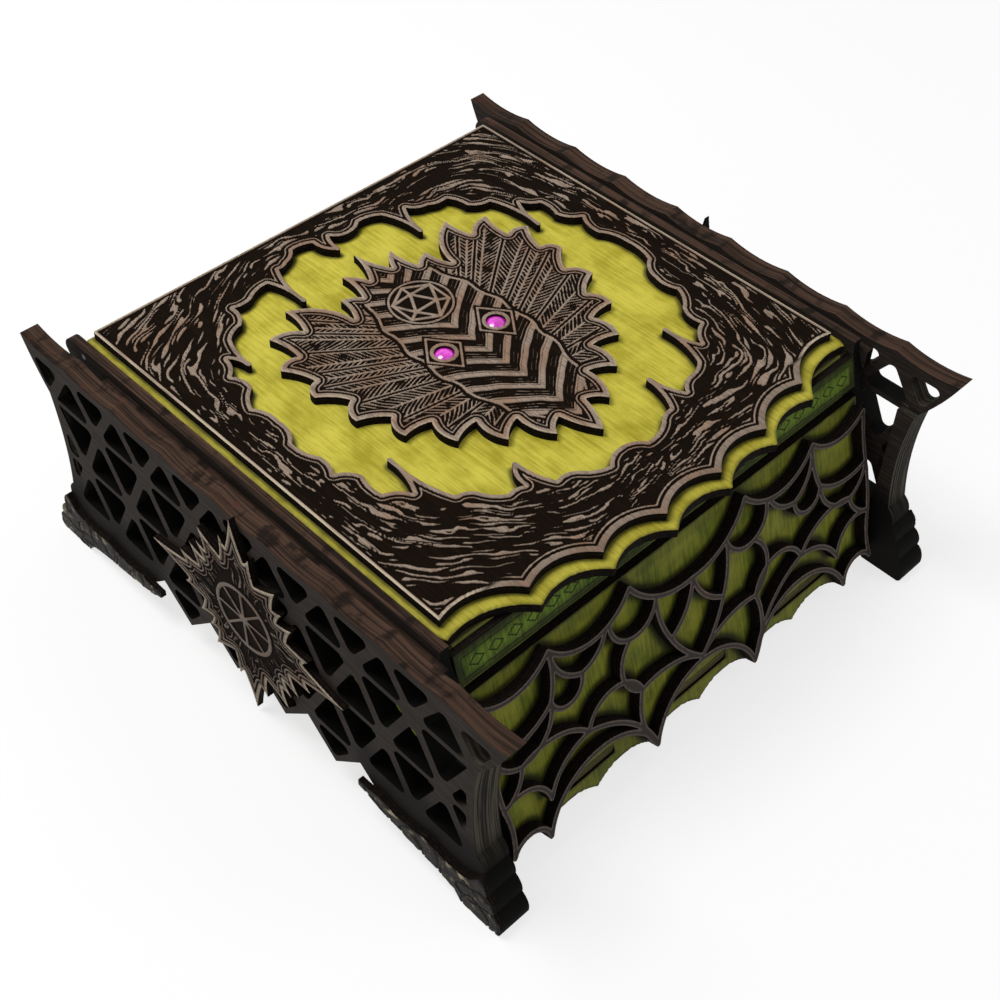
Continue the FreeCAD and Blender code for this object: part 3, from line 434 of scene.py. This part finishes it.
def plumage(x, y):
    """Long feathers that fan out from the crest's spine to its tips: outlines, quills and barbs raised."""
    far_off = 1e3
    nearest, second = np.full(x.shape, far_off), np.full(x.shape, far_off)
    along = np.zeros_like(x)
    for k, (tip_x, tip_y) in enumerate(FEATHER_TIPS):
        root_y = SPINE_TOP - ROOT_PITCH * k
        dx, dy = tip_x - SPINE_HALF, tip_y - root_y
        gap, share = gap_to_line(np.abs(x) - SPINE_HALF, y - root_y, dx, dy)
        along = np.where(gap < nearest, share * math.hypot(dx, dy), along)
        second = np.minimum(second, np.maximum(gap, nearest))
        nearest = np.minimum(nearest, gap)
    parting = second - nearest
    rim = band(parting, 1.0, 2.3, 0.2)
    quill = 1.0 - smooth(0.35, 0.6, nearest)
    barb = np.cos(TURN * (along / 2.3 - nearest / 2.0 + 0.3 * drift(x / 6.0, y / 6.0)))
    broken = barb + 0.6 * flames(x / 5.0, y / 5.0 + 12.0) - 0.2
    return np.maximum.reduce([rim, quill, smooth(0.1, 0.6, broken) * smooth(1.6, 2.4, parting)])


def breastplate(x, y):
    """Chevrons down the crest's middle: a broad ridge, a hollow and two fine lines in turn."""
    bow = 1.05 * np.abs(x) - 0.012 * x * x + 0.5 * drift(x / 7.0, y / 7.0)
    lap = (y - bow) / 9.5
    part = lap - np.floor(lap)
    ridge = band(part, 0.05, 0.46, 0.03) * (1.0 - 0.8 * band(part, 0.33, 0.37, 0.015))
    fine = np.maximum(band(part, 0.58, 0.63, 0.02), band(part, 0.8, 0.84, 0.02))
    broken = smooth(-0.25, 0.0, flames(x / 6.0 + 3.0, y / 6.0))
    return np.maximum(ridge, 0.8 * fine * broken)


def wings_and_breast(x, y):
    """The crest's two fields, parted by a groove along the breastplate's raised border."""
    half_height, half_width, middle = 60.0, 25.0, 12.0
    bulge = np.sqrt(np.clip(1.0 - ((y - middle) / half_height) ** 2, 0.0, 1.0))
    inward = half_width * bulge + 0.8 * np.sin(y / 2.7) - np.abs(x)
    carving = np.where(inward > 0.0, breastplate(x, y), plumage(x, y)) * smooth(0.5, 0.9, np.abs(inward))
    return np.maximum(carving, band(inward, 0.9, 2.1)) * smooth(0.3, 0.6, np.abs(inward))


def add_gem_seats(x, y, carving):
    """Sets a kite and a collar round each gem."""
    for gem_x, gem_y in GEM_CENTRES:
        kite = np.abs(x - gem_x) / 9.0 + np.abs(y - gem_y) / 11.5
        carving = np.where(kite < 1.12, band(kite, 0.86, 1.0, 0.03), carving)
        carving = np.maximum(carving, band(np.hypot(x - gem_x, y - gem_y), 3.9, 5.6))
    return carving


def add_die(x, y, carving):
    """Sets a ring with a die in it."""
    radius = np.hypot(x - DIE_CENTRE[0], y - DIE_CENTRE[1])
    edges = edge_lines(x, y, die_edges(DIE_CENTRE, DIE_SIZE), 1.2)
    carving = np.where(radius < DIE_SIZE + 2.6, edges, carving)
    return np.maximum(carving, band(radius, DIE_SIZE + 0.9, DIE_SIZE + 1.9))


def plaque_pattern(x, y, gaps):
    """A winged crest with two gems and a die, inside a double rim."""
    outer = gaps[0]
    carving = add_gem_seats(x, y, wings_and_breast(x, y) * smooth(3.9, 4.8, outer))
    carving = add_die(x, y, carving)
    lines = np.maximum(band(outer, -1.0, 2.1), band(outer, 3.0, 3.6))
    warm = smooth(-0.3, 0.4, patches(x / 17.0 + 9.0, y / 17.0))
    bare = 0.6 * band(outer, -1.0, 0.7)
    return np.maximum(carving, lines), {"warm": warm, "hatch": np.zeros_like(x), "bare": bare}


def emblem_pattern(x, y, gaps):
    """A spoked ring in the middle of the star, crests round it and a triple rim."""
    outer = gaps[0]
    radius, angle = np.hypot(x, y - STAR_HEIGHT), np.arctan2(x, y - STAR_HEIGHT)
    ring = band(radius, 14.5, 16.3)
    spokes = band(radius * np.abs(np.sin(4.0 * angle)) / 4.0, -1.0, 0.55) * (radius < 15.0)
    lines = np.maximum.reduce([band(outer, -1.0, 1.7), band(outer, 2.6, 3.5), band(outer, 4.8, 5.3),
                               ring, spokes, band(radius, -1.0, 2.2)])
    facets = crags(angle * 14.0, radius, 2.6, 12.0) * smooth(17.6, 18.2, radius) * smooth(5.8, 6.4, outer)
    warm = smooth(0.0, 0.5, patches(x / 15.0, y / 15.0 + 5.0))
    bare = 0.7 * band(outer, -1.0, 0.9)
    return np.maximum(lines, 0.75 * facets), {"warm": warm, "hatch": np.zeros_like(x), "bare": bare}


def stone_pattern(x, y, gaps):
    """Rough blocks parted by a few deep joints, chipped pale along the top of the course, where the pale is
    also a painted highlight.
    """
    outer = gaps[0]
    joints = np.minimum(np.abs(drift(x / 19.0, y / 11.0)), np.abs(drift(x / 13.0 + 31.0, y / 17.0 + 7.0)))
    blocks = smooth(0.015, 0.06, joints)
    rough = 0.62 + 0.38 * stones.cloud(x / 4.0, y / 4.0)
    # the raised crown along the top edge: pale chips and painted highlight
    crown = (1.0 - smooth(1.5, 4.0, outer + 1.2 * stones(x / 3.0, y / 3.0))) * smooth(9.0, 13.0, y)
    crown = crown * smooth(0.0, 0.35, drift(x / 6.0 + 12.0, y / 9.0))
    carving = np.maximum(np.clip(blocks * rough, 0.0, 1.0), crown)
    flecks = smooth(0.3, 0.6, stones(x / 2.4, y / 2.4)) * 0.6
    return carving, {"chips_and_highlight": np.maximum(crown, flecks)}


def fascia_pattern(x, y, gaps):
    """A thin wandering border line with a run of lozenges inside it."""
    outer = gaps[0] + 0.35 * stones(x / 4.0, y / 4.0)
    border = band(outer, 2.3, 2.75, 0.12)
    pitch = 9.0
    across, up = (x + 4.0) % pitch - pitch / 2.0, y - np.median(y)
    lozenge = np.abs(np.abs(across) / 3.3 + np.abs(up) / 2.3 - 1.0)
    run = (1.0 - smooth(0.08, 0.2, lozenge)) * (gaps[0] > 3.4)
    # darker towards the fascia's edges: partly smoke from the cutting, partly painted shade
    smoke_and_shade = 1.0 - smooth(0.5, 6.0, gaps[0] + 1.2 * drift(x / 9.0, y / 9.0))
    return 1.0 - np.maximum(border, run), {"smoke_and_shade": smoke_and_shade}


def web_pattern(x, y, gaps):
    """Strands with raised, unevenly worn rims."""
    rim = 1.0 - smooth(0.5, 0.75, np.minimum.reduce(gaps))
    worn = 0.5 + 0.5 * patches.cloud(x / 12.0, y / 12.0)
    return 0.35 + 0.65 * rim, {"rim": rim, "worn": worn}


def smoke_and_shade_near(node, sheet, reach, strength=1.0):
    """A pattern for a plain board: darkened close to the outline of the sheet that lies on it, partly smoke
    from the cutting and partly painted shade cast by that sheet.
    """
    rings = outline(node, sheet)

    def pattern(x, y, gaps):
        flat = np.stack([x, y], axis=-1) * MM
        field = Field(flat.min(axis=0), flat.max(axis=0), 0.8 * MM)
        gap = np.minimum.reduce([field.near(ring, reach * MM) for ring in rings])
        near = sample(field, gap, flat) / MM + 0.8 * drift.cloud(x / 8.0, y / 8.0)
        edge = np.minimum.reduce(gaps) + 0.8 * drift.cloud(x / 6.0, y / 6.0 + 3.0)
        # darker near the sheet on top and along the board's own edges: smoke from the cutting and painted
        # shade
        smoke_and_shade = np.maximum(1.0 - smooth(0.0, 0.8 * reach, near), 0.8 * (1.0 - smooth(0.0, 2.2, edge)))
        smoke_and_shade = np.maximum(smoke_and_shade, 0.4 * (1.0 - smooth(4.5, 7.0, edge)))
        return np.ones_like(x), {"smoke_and_shade": strength * smoke_and_shade}

    return pattern


# ---------------------------------------------------------------- finishes
def tint(red, green, blue):
    """A colour written as it looks, 0 to 255, as the shader's own light values."""
    def light(part):
        share = part / 255.0
        return share / 12.92 if share <= 0.04045 else ((share + 0.055) / 1.055) ** 2.4

    return (light(red), light(green), light(blue), 1.0)


def scaled(values, factor):
    return [value * factor for value in values]


def times(colour, factor):
    return tint(*scaled(colour, factor))


def find(sockets, key):
    """A node's socket, by its number or its name."""
    if isinstance(key, int):
        return sockets[key]
    return next(s for s in sockets if s.identifier == key or (s.name == key and s.enabled))


class Wire:
    """A node's output: arithmetic on it adds Math nodes."""

    def __init__(self, finish, socket):
        self.finish, self.socket = finish, socket

    def sum(self, operation, *values):
        return self.finish.node("ShaderNodeMath", {"operation": operation}, dict(enumerate(values)))

    def __add__(self, other):
        return self.sum("ADD", self, other)

    def __sub__(self, other):
        return self.sum("SUBTRACT", self, other)

    def __rsub__(self, other):
        return self.sum("SUBTRACT", other, self)

    def __mul__(self, other):
        return self.sum("MULTIPLY", self, other)

    def __abs__(self):
        return self.sum("ABSOLUTE", self)

    __radd__, __rmul__ = __add__, __mul__

    def most(self, other):
        return self.sum("MAXIMUM", self, other)

    def cosine(self):
        return self.sum("COSINE", self)

    def rise(self, low, high):
        """0 below low, 1 above high, and a smooth rise between."""
        return self.finish.node("ShaderNodeMapRange", {"interpolation_type": "SMOOTHSTEP"},
                                {"Value": self, "From Min": low, "From Max": high})


class Finish:
    """One material, or the world's background, in the making."""

    def __init__(self, name, kind=bpy.data.materials, end="ShaderNodeOutputMaterial"):
        self.material = kind.new(name)
        self.material.use_nodes = True
        self.tree = self.material.node_tree
        self.tree.nodes.clear()
        self.end = end

    def node(self, kind, settings, sockets, out=0):
        """Adds a node: its settings first, then the values or links of its sockets."""
        node = self.tree.nodes.new(kind)
        for key, value in settings.items():
            setattr(node, key, value)
        for key, value in sockets.items():
            socket = find(node.inputs, key)
            if isinstance(value, Wire):
                self.tree.links.new(value.socket, socket)
            else:
                socket.default_value = value
        return Wire(self, find(node.outputs, out)) if node.outputs else None

    def place(self):
        """Place on the piece, in metres."""
        return self.node("ShaderNodeTexCoord", {}, {}, "Object")

    def stored(self, name):
        """What the mesh stores at its points under a name."""
        return self.node("ShaderNodeAttribute", {"attribute_name": name}, {}, "Fac")

    def facing(self, axis):
        """How squarely the surface faces along an axis of the piece, from -1 to 1."""
        normal = self.node("ShaderNodeTexCoord", {}, {}, "Normal")
        return self.node("ShaderNodeVectorMath", {"operation": "DOT_PRODUCT"}, {0: normal, 1: axis}, "Value")

    def along(self, axis):
        """Place along an axis, in millimetres."""
        return self.node("ShaderNodeVectorMath", {"operation": "DOT_PRODUCT"},
                         {0: self.place(), 1: [part / MM for part in axis]}, "Value")

    def cloud(self, lengths, detail=3.0, roughness=0.55):
        """Noise whose blotches are so many millimetres long along each axis."""
        place = self.node("ShaderNodeMapping", {}, {"Vector": self.place(),
                                                    "Scale": [1.0 / (length * MM) for length in lengths]})
        return self.node("ShaderNodeTexNoise", {}, {"Vector": place, "Scale": 1.0, "Detail": detail,
                                                    "Roughness": roughness}, "Fac")

    def mix(self, first, second, share):
        return self.node("ShaderNodeMix", {"data_type": "RGBA", "clamp_factor": True},
                         {"Factor_Float": share, "A_Color": first, "B_Color": second}, "Result_Color")

    def surface(self, colour, roughness, height, lift, sheen, **more):
        """Closes the material. height, 0 to 1, looks raised by up to lift millimetres."""
        bump = self.node("ShaderNodeBump", {}, {"Strength": 1.0, "Distance": lift * MM, "Height": height})
        sockets = {"Base Color": colour, "Roughness": roughness, "Specular IOR Level": sheen, "Normal": bump}
        self.close(self.node("ShaderNodeBsdfPrincipled", {}, {**sockets, **more}))
        return self.material

    def seen(self):
        """1 for rays that look this way, straight, by way of a mirror or through glass, and else 0."""
        rays = [self.node("ShaderNodeLightPath", {}, {}, f"Is {kind} Ray")
                for kind in ("Camera", "Glossy", "Transmission")]
        return rays[0].most(rays[1]).most(rays[2])

    def close(self, shader):
        self.node(self.end, {}, {"Surface": shader})


# the grain: how many millimetres long its streaks are along each axis
ALONG_LID = (1.2, 26.0, 1.2)
ALONG_FLANK = (1.2, 26.0, 1.0)
UP_SLOPE = (1.0, 14.0, 22.0)
FRONT_TO_BACK = (1.2, 24.0, 1.2)
SIDE_TO_SIDE = (24.0, 1.2, 1.2)
PLY_PITCH = 1.35  # millimetres from ply to ply on a cut edge
INSIDE_GREEN = (104, 110, 52)
INSIDE_EDGE = (58, 54, 32)


def engraved_ply(name, grain, high=(146, 129, 114), low=(13, 7, 3), copper=(134, 99, 76)):
    """A darkened sheet whose raised lines are sanded back to taupe and copper."""
    finish = Finish(name)
    carving, warm, hatch, bare = (finish.stored(key) for key in ("carving", "warm", "hatch", "bare"))
    streaks = finish.cloud(grain, 4.0)
    fine = finish.cloud(scaled(grain, 0.35), 3.0)
    raised = finish.mix(tint(*high), tint(*copper), warm * 0.55)
    raised = finish.mix(raised, times(high, 0.62), fine.rise(0.42, 0.66) * 0.7)
    raised = finish.mix(raised, times(high, 0.5), hatch * 0.55)
    raised = finish.mix(raised, tint(186, 172, 148), bare * streaks.rise(0.35, 0.55) * 0.8)
    sunk = finish.mix(tint(*low), times(low, 1.9), streaks.rise(0.45, 0.75))
    colour = finish.mix(sunk, raised, carving.rise(0.35, 0.85))
    height = streaks * 0.5 + fine * 0.5 - hatch * 0.4
    return finish.surface(colour, 0.6 + 0.25 * (1.0 - carving), height, 0.08, 0.04)


def burnt_edge(name, axis):
    """A laser-cut edge, charred, with its plies showing as faint lines along the thickness axis."""
    finish = Finish(name)
    lines = (finish.along(axis) * (TURN / PLY_PITCH)).cosine().rise(-0.1, 0.9)
    soot = finish.cloud((1.5, 1.5, 1.5), 3.0)
    colour = finish.mix(tint(13, 10, 8), tint(48, 36, 29), lines * soot.rise(0.35, 0.75) * 0.7)
    return finish.surface(colour, 0.85, lines * 0.4 + soot * 0.6, 0.1, 0.05)


def stained_green(name, grain, light, deep, smoke_and_shade_tint=(30, 30, 9), with_smoke_and_shade=True):
    """Green-stained plywood: long grain, blotches of stain, and smoke from the cutting mixed with painted
    shade.
    """
    finish = Finish(name)
    streaks = finish.cloud(grain, 6.0, 0.65)
    fine = finish.cloud(scaled(grain, 0.3), 3.0, 0.6)
    blotches = finish.cloud((15.0, 18.0, 18.0), 4.0, 0.6)
    colour = finish.mix(tint(*deep), tint(*light), (streaks * 0.45 + blotches * 0.55).rise(0.34, 0.62))
    colour = finish.mix(colour, times(deep, 0.66), fine.rise(0.54, 0.74) * 0.5)
    # the stored value darkens the green: smoke from the cutting and painted shade
    if with_smoke_and_shade:
        colour = finish.mix(colour, tint(*smoke_and_shade_tint), finish.stored("smoke_and_shade").rise(0.02, 1.0) * 0.96)
    return finish.surface(colour, 0.6, streaks * 0.4 + fine * 0.6, 0.05, 0.12)


def engraved_green(name, grain, light, deep):
    """Green ply with lines burnt into it, and smoke with painted shade near its edges."""
    finish = Finish(name)
    streaks = finish.cloud(grain, 5.0, 0.6)
    fine = finish.cloud(scaled(grain, 0.3), 3.0, 0.6)
    colour = finish.mix(tint(*deep), tint(*light), streaks.rise(0.3, 0.65))
    colour = finish.mix(colour, times(deep, 0.7), fine.rise(0.5, 0.72) * 0.6)
    # smoke from the cutting and painted shade near the edges
    colour = finish.mix(colour, tint(24, 26, 10), finish.stored("smoke_and_shade") * 0.9)
    colour = finish.mix(tint(20, 22, 10), colour, finish.stored("carving").rise(0.2, 0.8))
    return finish.surface(colour, 0.65, streaks * 0.4 + fine * 0.6, 0.05, 0.1)


def ply_skin(finish, face, streaks, fine):
    """The flat face of a sheet: streaked along the grain."""
    skin = finish.mix(tint(*face), times(face, 1.45), streaks.rise(0.4, 0.72))
    return finish.mix(skin, times(face, 0.6), fine.rise(0.48, 0.7) * 0.6)


def ply_lines(finish, axis):
    """The plies seen on a cut edge: whole, and broken up along their length."""
    lines = (finish.along(axis) * (TURN / PLY_PITCH)).cosine().rise(-0.2, 0.8)
    threads = finish.cloud([0.5 if part else 14.0 for part in axis], 4.0)
    return lines, lines * threads.rise(0.38, 0.6)


def faced_ply(name, axis, face, grain, edge):
    """Plywood whose flat faces and cut edges differ, told apart by where they face."""
    finish = Finish(name)
    flat = abs(finish.facing(axis)).rise(0.55, 0.75)
    streaks, fine = finish.cloud(grain, 4.0, 0.6), finish.cloud(scaled(grain, 0.3), 3.0)
    lines, broken = ply_lines(finish, axis)
    cut = finish.mix(tint(*edge), times(edge, 1.7), broken)
    cut = finish.mix(cut, tint(16, 12, 11), finish.cloud((9.0, 9.0, 9.0), 3.0).rise(0.55, 0.75) * 0.6)
    colour = finish.mix(cut, ply_skin(finish, face, streaks, fine), flat)
    return finish.surface(colour, 0.75 - 0.1 * flat, streaks * 0.4 + fine * 0.3 + lines * 0.3, 0.12, 0.08)


def flank_edges(finish, plies, upward, outer):
    """The side frames' cut edges: charred black with painted shade in the cut-outs, streaked posts and brown,
    scorched tops.
    """
    post, rail = (15, 14, 12), (48, 36, 29)
    scorch = finish.cloud((14.0, 9.0, 9.0), 4.0)
    top = finish.mix(times(rail, 0.55), times(rail, 1.5), plies.rise(0.36, 0.64))
    top = finish.mix(top, tint(74, 42, 34), scorch.rise(0.4, 0.3) * 0.5)
    top = finish.mix(top, tint(16, 12, 10), scorch.rise(0.52, 0.66) * 0.8)
    streaked = finish.mix(tint(*post), times(post, 4.6), plies.rise(0.44, 0.6))
    # the cut-outs' edges near-black: char with painted shade; the posts' outer edges stay streaked
    return finish.mix(finish.mix(tint(8, 7, 6), streaked, outer), top, upward)


def flank_ply(name):
    """The side frames' sheets: dark faces, blacker by the feet, and edges told apart by place."""
    finish = Finish(name)
    flat = abs(finish.facing((1, 0, 0))).rise(0.55, 0.75)
    level, length = finish.along((0, 0, 1)), abs(finish.along((0, 1, 0)))
    upward = finish.facing((0, 0, 1)).rise(0.25, 0.6) * level.rise(101.0, 105.0)
    outer = length.rise(111.0, 117.0) * level.rise(26.0, 44.0) * (1.0 - upward)
    streaks, fine = finish.cloud((1.0, 24.0, 1.2), 4.0, 0.6), finish.cloud((0.3, 8.0, 0.4), 3.0)
    plies = finish.cloud((1.0, 70.0, 70.0), 4.0, 0.7)
    skin = ply_skin(finish, (38, 33, 30), streaks, fine)
    by_feet = (1.0 - level.rise(34.0, 50.0)) * length.rise(52.0, 66.0)
    skin = finish.mix(skin, tint(9, 8, 7), by_feet * 0.85)
    colour = finish.mix(flank_edges(finish, plies, upward, outer), skin, flat)
    rough = streaks * 0.4 + fine * 0.3 + plies * (upward + outer) * 1.2
    return finish.surface(colour, 0.75 - 0.1 * flat, rough, 0.25, 0.05)


def web_finish(name):
    """Grey-brown strands with paler, worn rims."""
    finish = Finish(name)
    rim, worn = finish.stored("rim"), finish.stored("worn")
    fine = finish.cloud((0.5, 4.0, 4.0), 3.0)
    colour = finish.mix(tint(38, 31, 27), tint(84, 75, 69), rim)
    colour = finish.mix(colour, tint(112, 84, 72), worn.rise(0.55, 0.9) * rim * 0.7)
    colour = finish.mix(colour, tint(30, 24, 21), fine.rise(0.5, 0.68) * 0.6)
    return finish.surface(colour, 0.65, fine, 0.06, 0.15)


def stone_finish(name):
    """Brown-black blocks with pewter and dull gold chips, those along the top edge also a painted highlight.
    """
    finish = Finish(name)
    carving, chips_and_highlight = finish.stored("carving"), finish.stored("chips_and_highlight")
    tone = finish.cloud((7.0, 7.0, 7.0), 3.0)
    fine = finish.cloud((1.0, 1.0, 1.0), 4.0)
    block = finish.mix(tint(19, 16, 13), tint(50, 40, 30), fine.rise(0.4, 0.7) * 0.8)
    # pale chips, with a painted highlight along the top edge
    block = finish.mix(block, tint(146, 134, 110), chips_and_highlight * tone.rise(0.42, 0.58))
    colour = finish.mix(tint(12, 10, 9), block, carving.rise(0.25, 0.85))
    return finish.surface(colour, 0.6, fine, 0.15, 0.12)


def gem_finish(name):
    """Polished magenta stone."""
    finish = Finish(name)
    veil = finish.cloud((2.5, 2.5, 2.5), 3.0)
    colour = finish.mix(tint(186, 22, 168), tint(226, 62, 208), veil.rise(0.4, 0.7))
    return finish.surface(colour, 0.16, veil, 0.01, 0.6, **{"Coat Weight": 0.4})


def steel_finish(name):
    """Turned steel."""
    finish = Finish(name)
    turned = finish.cloud((0.25, 6.0, 6.0), 2.0)
    colour = finish.mix(tint(150, 150, 152), tint(190, 190, 192), turned.rise(0.4, 0.6))
    return finish.surface(colour, 0.32 + 0.1 * turned, turned, 0.02, 0.5, Metallic=1.0)


OVERLAY_FINISH = engraved_ply("engraved_lid_ply", ALONG_LID)
FLANK_FINISH = engraved_ply("engraved_flank_ply", ALONG_FLANK, (116, 105, 95), (14, 9, 5), (98, 74, 60))
LEVEL_EDGE = burnt_edge("burnt_edge_level", (0, 0, 1))
FLANK_EDGE = burnt_edge("burnt_edge_flank", (1, 0, 0))
LEANING_EDGE = burnt_edge("burnt_edge_leaning", (0, -math.cos(LEAN), math.sin(LEAN)))
LID_GREEN = stained_green("lid_green", ALONG_LID, (190, 180, 68), (148, 138, 34))
# (12, 12, 5) is the drawer's smoke and painted shade under the web
DRAWER_GREEN = stained_green("drawer_green", UP_SLOPE, (122, 124, 38), (70, 80, 18), (12, 12, 5))
FASCIA_GREEN = engraved_green("fascia_green", UP_SLOPE, (98, 120, 38), (62, 82, 22))
WALL_GREEN = stained_green("wall_green", FRONT_TO_BACK, (120, 132, 48), (88, 102, 30), with_smoke_and_shade=False)
UNDER_GREEN = stained_green("lid_underside", ALONG_LID, (150, 158, 60), (118, 128, 40), with_smoke_and_shade=False)
WEB_FINISH = web_finish("web_strands")
STONE_FINISH = stone_finish("plinth_stone")


# ---------------------------------------------------------------- pieces
def make_lid():
    # the lid board darkens near the frame above it: smoke and painted shade
    carve("lid_field", "lid_board", LEVEL, 0.9 * MM, 0.0, smoke_and_shade_near("lid_overlay", LEVEL, 3.4, 0.8),
          (LID_GREEN, LEVEL_EDGE, UNDER_GREEN), "lid")
    carve("lid_frame", "lid_overlay", LEVEL, 0.47 * MM, 0.55 * MM, overlay_pattern,
          (OVERLAY_FINISH, LEVEL_EDGE), "lid")
    carve("lid_crest", "lid_plaque", LEVEL, 0.4 * MM, 0.6 * MM, plaque_pattern,
          (OVERLAY_FINISH, LEVEL_EDGE), "lid")


def make_front():
    carve("fascia", "front_fascia", LEANING, 0.4 * MM, 0.25 * MM, fascia_pattern,
          (FASCIA_GREEN, LEANING_EDGE, WALL_GREEN), "chest")
    # the drawer front darkens near the web on it: smoke and painted shade
    carve("drawer_face", "drawer_front", LEANING, 0.9 * MM, 0.0, smoke_and_shade_near("web_back", LEANING, 6.0, 0.9),
          (DRAWER_GREEN, LEANING_EDGE, WALL_GREEN), "drawer")
    carve("web", "web_front", LEANING, 0.42 * MM, 0.15 * MM, web_pattern,
          (WEB_FINISH, LEANING_EDGE), "drawer")


def make_flanks():
    for side, sheet in FLANK.items():
        carve(f"star_{side}", f"emblem_{side}", sheet, 0.4 * MM, 0.6 * MM, emblem_pattern,
              (FLANK_FINISH, FLANK_EDGE), "chest")
        for end in ENDS:
            carve(f"footing_{end}_{side}", f"plinth_{end}_{side}", sheet, 0.45 * MM, 0.8 * MM, stone_pattern,
                  (STONE_FINISH, FLANK_EDGE), "chest")


def dress(material, *names):
    for name in names:
        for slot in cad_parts[name].material_slots:
            slot.material = material


def on_both(*stems):
    return [f"{stem}_{side}" for stem in stems for side in SIDES]


def dress_the_rest():
    dress(flank_ply("flank_ply"), *on_both("front_stile", "cheek_rail", "rear_stile", "spacer", "frame_core",
                                           "lattice", "leg_front", "leg_rear"))
    dress(faced_ply("level_ply", (0, 0, 1), INSIDE_GREEN, FRONT_TO_BACK, (54, 50, 30)),
          "base_board", "shelf", "drawer_bottom", "lid_batten_front", *on_both("lid_batten"))
    dress(faced_ply("upright_ply", (0, 1, 0), INSIDE_GREEN, SIDE_TO_SIDE, INSIDE_EDGE),
          "back_wall", "front_wall", "divider_long", "drawer_back", "drawer_divider_cross", "drawer_stop")
    dress(faced_ply("sideways_ply", (1, 0, 0), INSIDE_GREEN, FRONT_TO_BACK, INSIDE_EDGE),
          "drawer_divider_long", *on_both("divider_cross", "drawer_side"))
    dress(faced_ply("wall_ply", (1, 0, 0), (132, 138, 50), FRONT_TO_BACK, (44, 42, 24)),
          *on_both("side_wall"))
    dress(LEANING_EDGE, "web_back")
    dress(gem_finish("magenta_gem"), *on_both("gem"))
    dress(steel_finish("hinge_steel"), *on_both("hinge_pin"))


# ---------------------------------------------------------------- stage
FLOOR_REACH = 6.0  # metres each way from the middle of the chest
FLOOR_FADES = (0.5, 2.5)  # metres from the middle over which the floor turns as white as the room
WHITE = (1.0, 1.0, 1.0, 1.0)


def set_stage():
    """A pale floor that looks nearly white, yet still takes shadows."""
    floor_mesh = bpy.data.meshes.new("floor")
    corners = [(x * FLOOR_REACH, y * FLOOR_REACH, 0.0) for x, y in ((-1, -1), (1, -1), (1, 1), (-1, 1))]
    floor_mesh.from_pydata(corners, [], [(0, 1, 2, 3)])
    floor = bpy.data.objects.new("floor", floor_mesh)
    bpy.context.scene.collection.objects.link(floor)
    finish = Finish("pale_floor")
    plain = finish.node("ShaderNodeBsdfDiffuse", {}, {"Color": (0.9, 0.9, 0.9, 1.0)})
    bright = finish.node("ShaderNodeEmission", {}, {"Color": WHITE, "Strength": 1.0})
    away = finish.node("ShaderNodeVectorMath", {"operation": "LENGTH"}, {0: finish.place()}, "Value")
    share = finish.seen() * (0.72 + away.rise(*FLOOR_FADES) * 0.28)
    finish.close(finish.node("ShaderNodeMixShader", {}, {0: share, 1: plain, 2: bright}))
    floor_mesh.materials.append(finish.material)


def set_room():
    """A soft, even room that is white where it is looked at."""
    world = Finish("soft_room", bpy.data.worlds, "ShaderNodeOutputWorld")
    room, white = (world.node("ShaderNodeBackground", {}, {"Color": WHITE, "Strength": strength})
                   for strength in (0.42, 1.0))
    world.close(world.node("ShaderNodeMixShader", {}, {0: world.seen(), 1: room, 2: white}))
    bpy.context.scene.world = world.material


def add_lamp(name, place, size, power):
    """A round lamp that shines at the chest's middle."""
    lamp = bpy.data.lights.new(name, "AREA")
    lamp.shape, lamp.size, lamp.energy = "DISK", size, power
    light = bpy.data.objects.new(name, lamp)
    light.location = place
    light.rotation_euler = (Vector(place) - Vector((0, 0, 0.05))).to_track_quat("Z", "Y").to_euler()
    bpy.context.scene.collection.objects.link(light)


def set_camera():
    """The camera in its place, turned by the directions that are right, down and ahead in its picture."""
    place = (-0.318839, -0.319473, 0.508303)
    right = Vector((0.715192021, -0.698680674, 0.01859269))
    down = Vector((-0.500064159, -0.530104569, -0.684780975))
    ahead = Vector((0.488299303, 0.480452352, -0.728511722))
    data = bpy.data.cameras.new("camera")
    data.lens, data.sensor_width = 56.3149, 36.0
    camera = bpy.data.objects.new("camera", data)
    turn = Matrix((right, -down, -ahead)).transposed().to_4x4()
    camera.matrix_world = Matrix.Translation(place) @ turn
    bpy.context.scene.collection.objects.link(camera)
    bpy.context.scene.camera = camera


bpy.context.scene.view_settings.view_transform = "Standard"
set_camera()
set_room()
add_lamp("key", (-0.35, 0.5, 1.3), 0.7, 15.0)
add_lamp("fill", (0.7, -0.9, 1.1), 0.9, 4.0)
set_stage()
make_lid()
make_front()
make_flanks()
dress_the_rest()
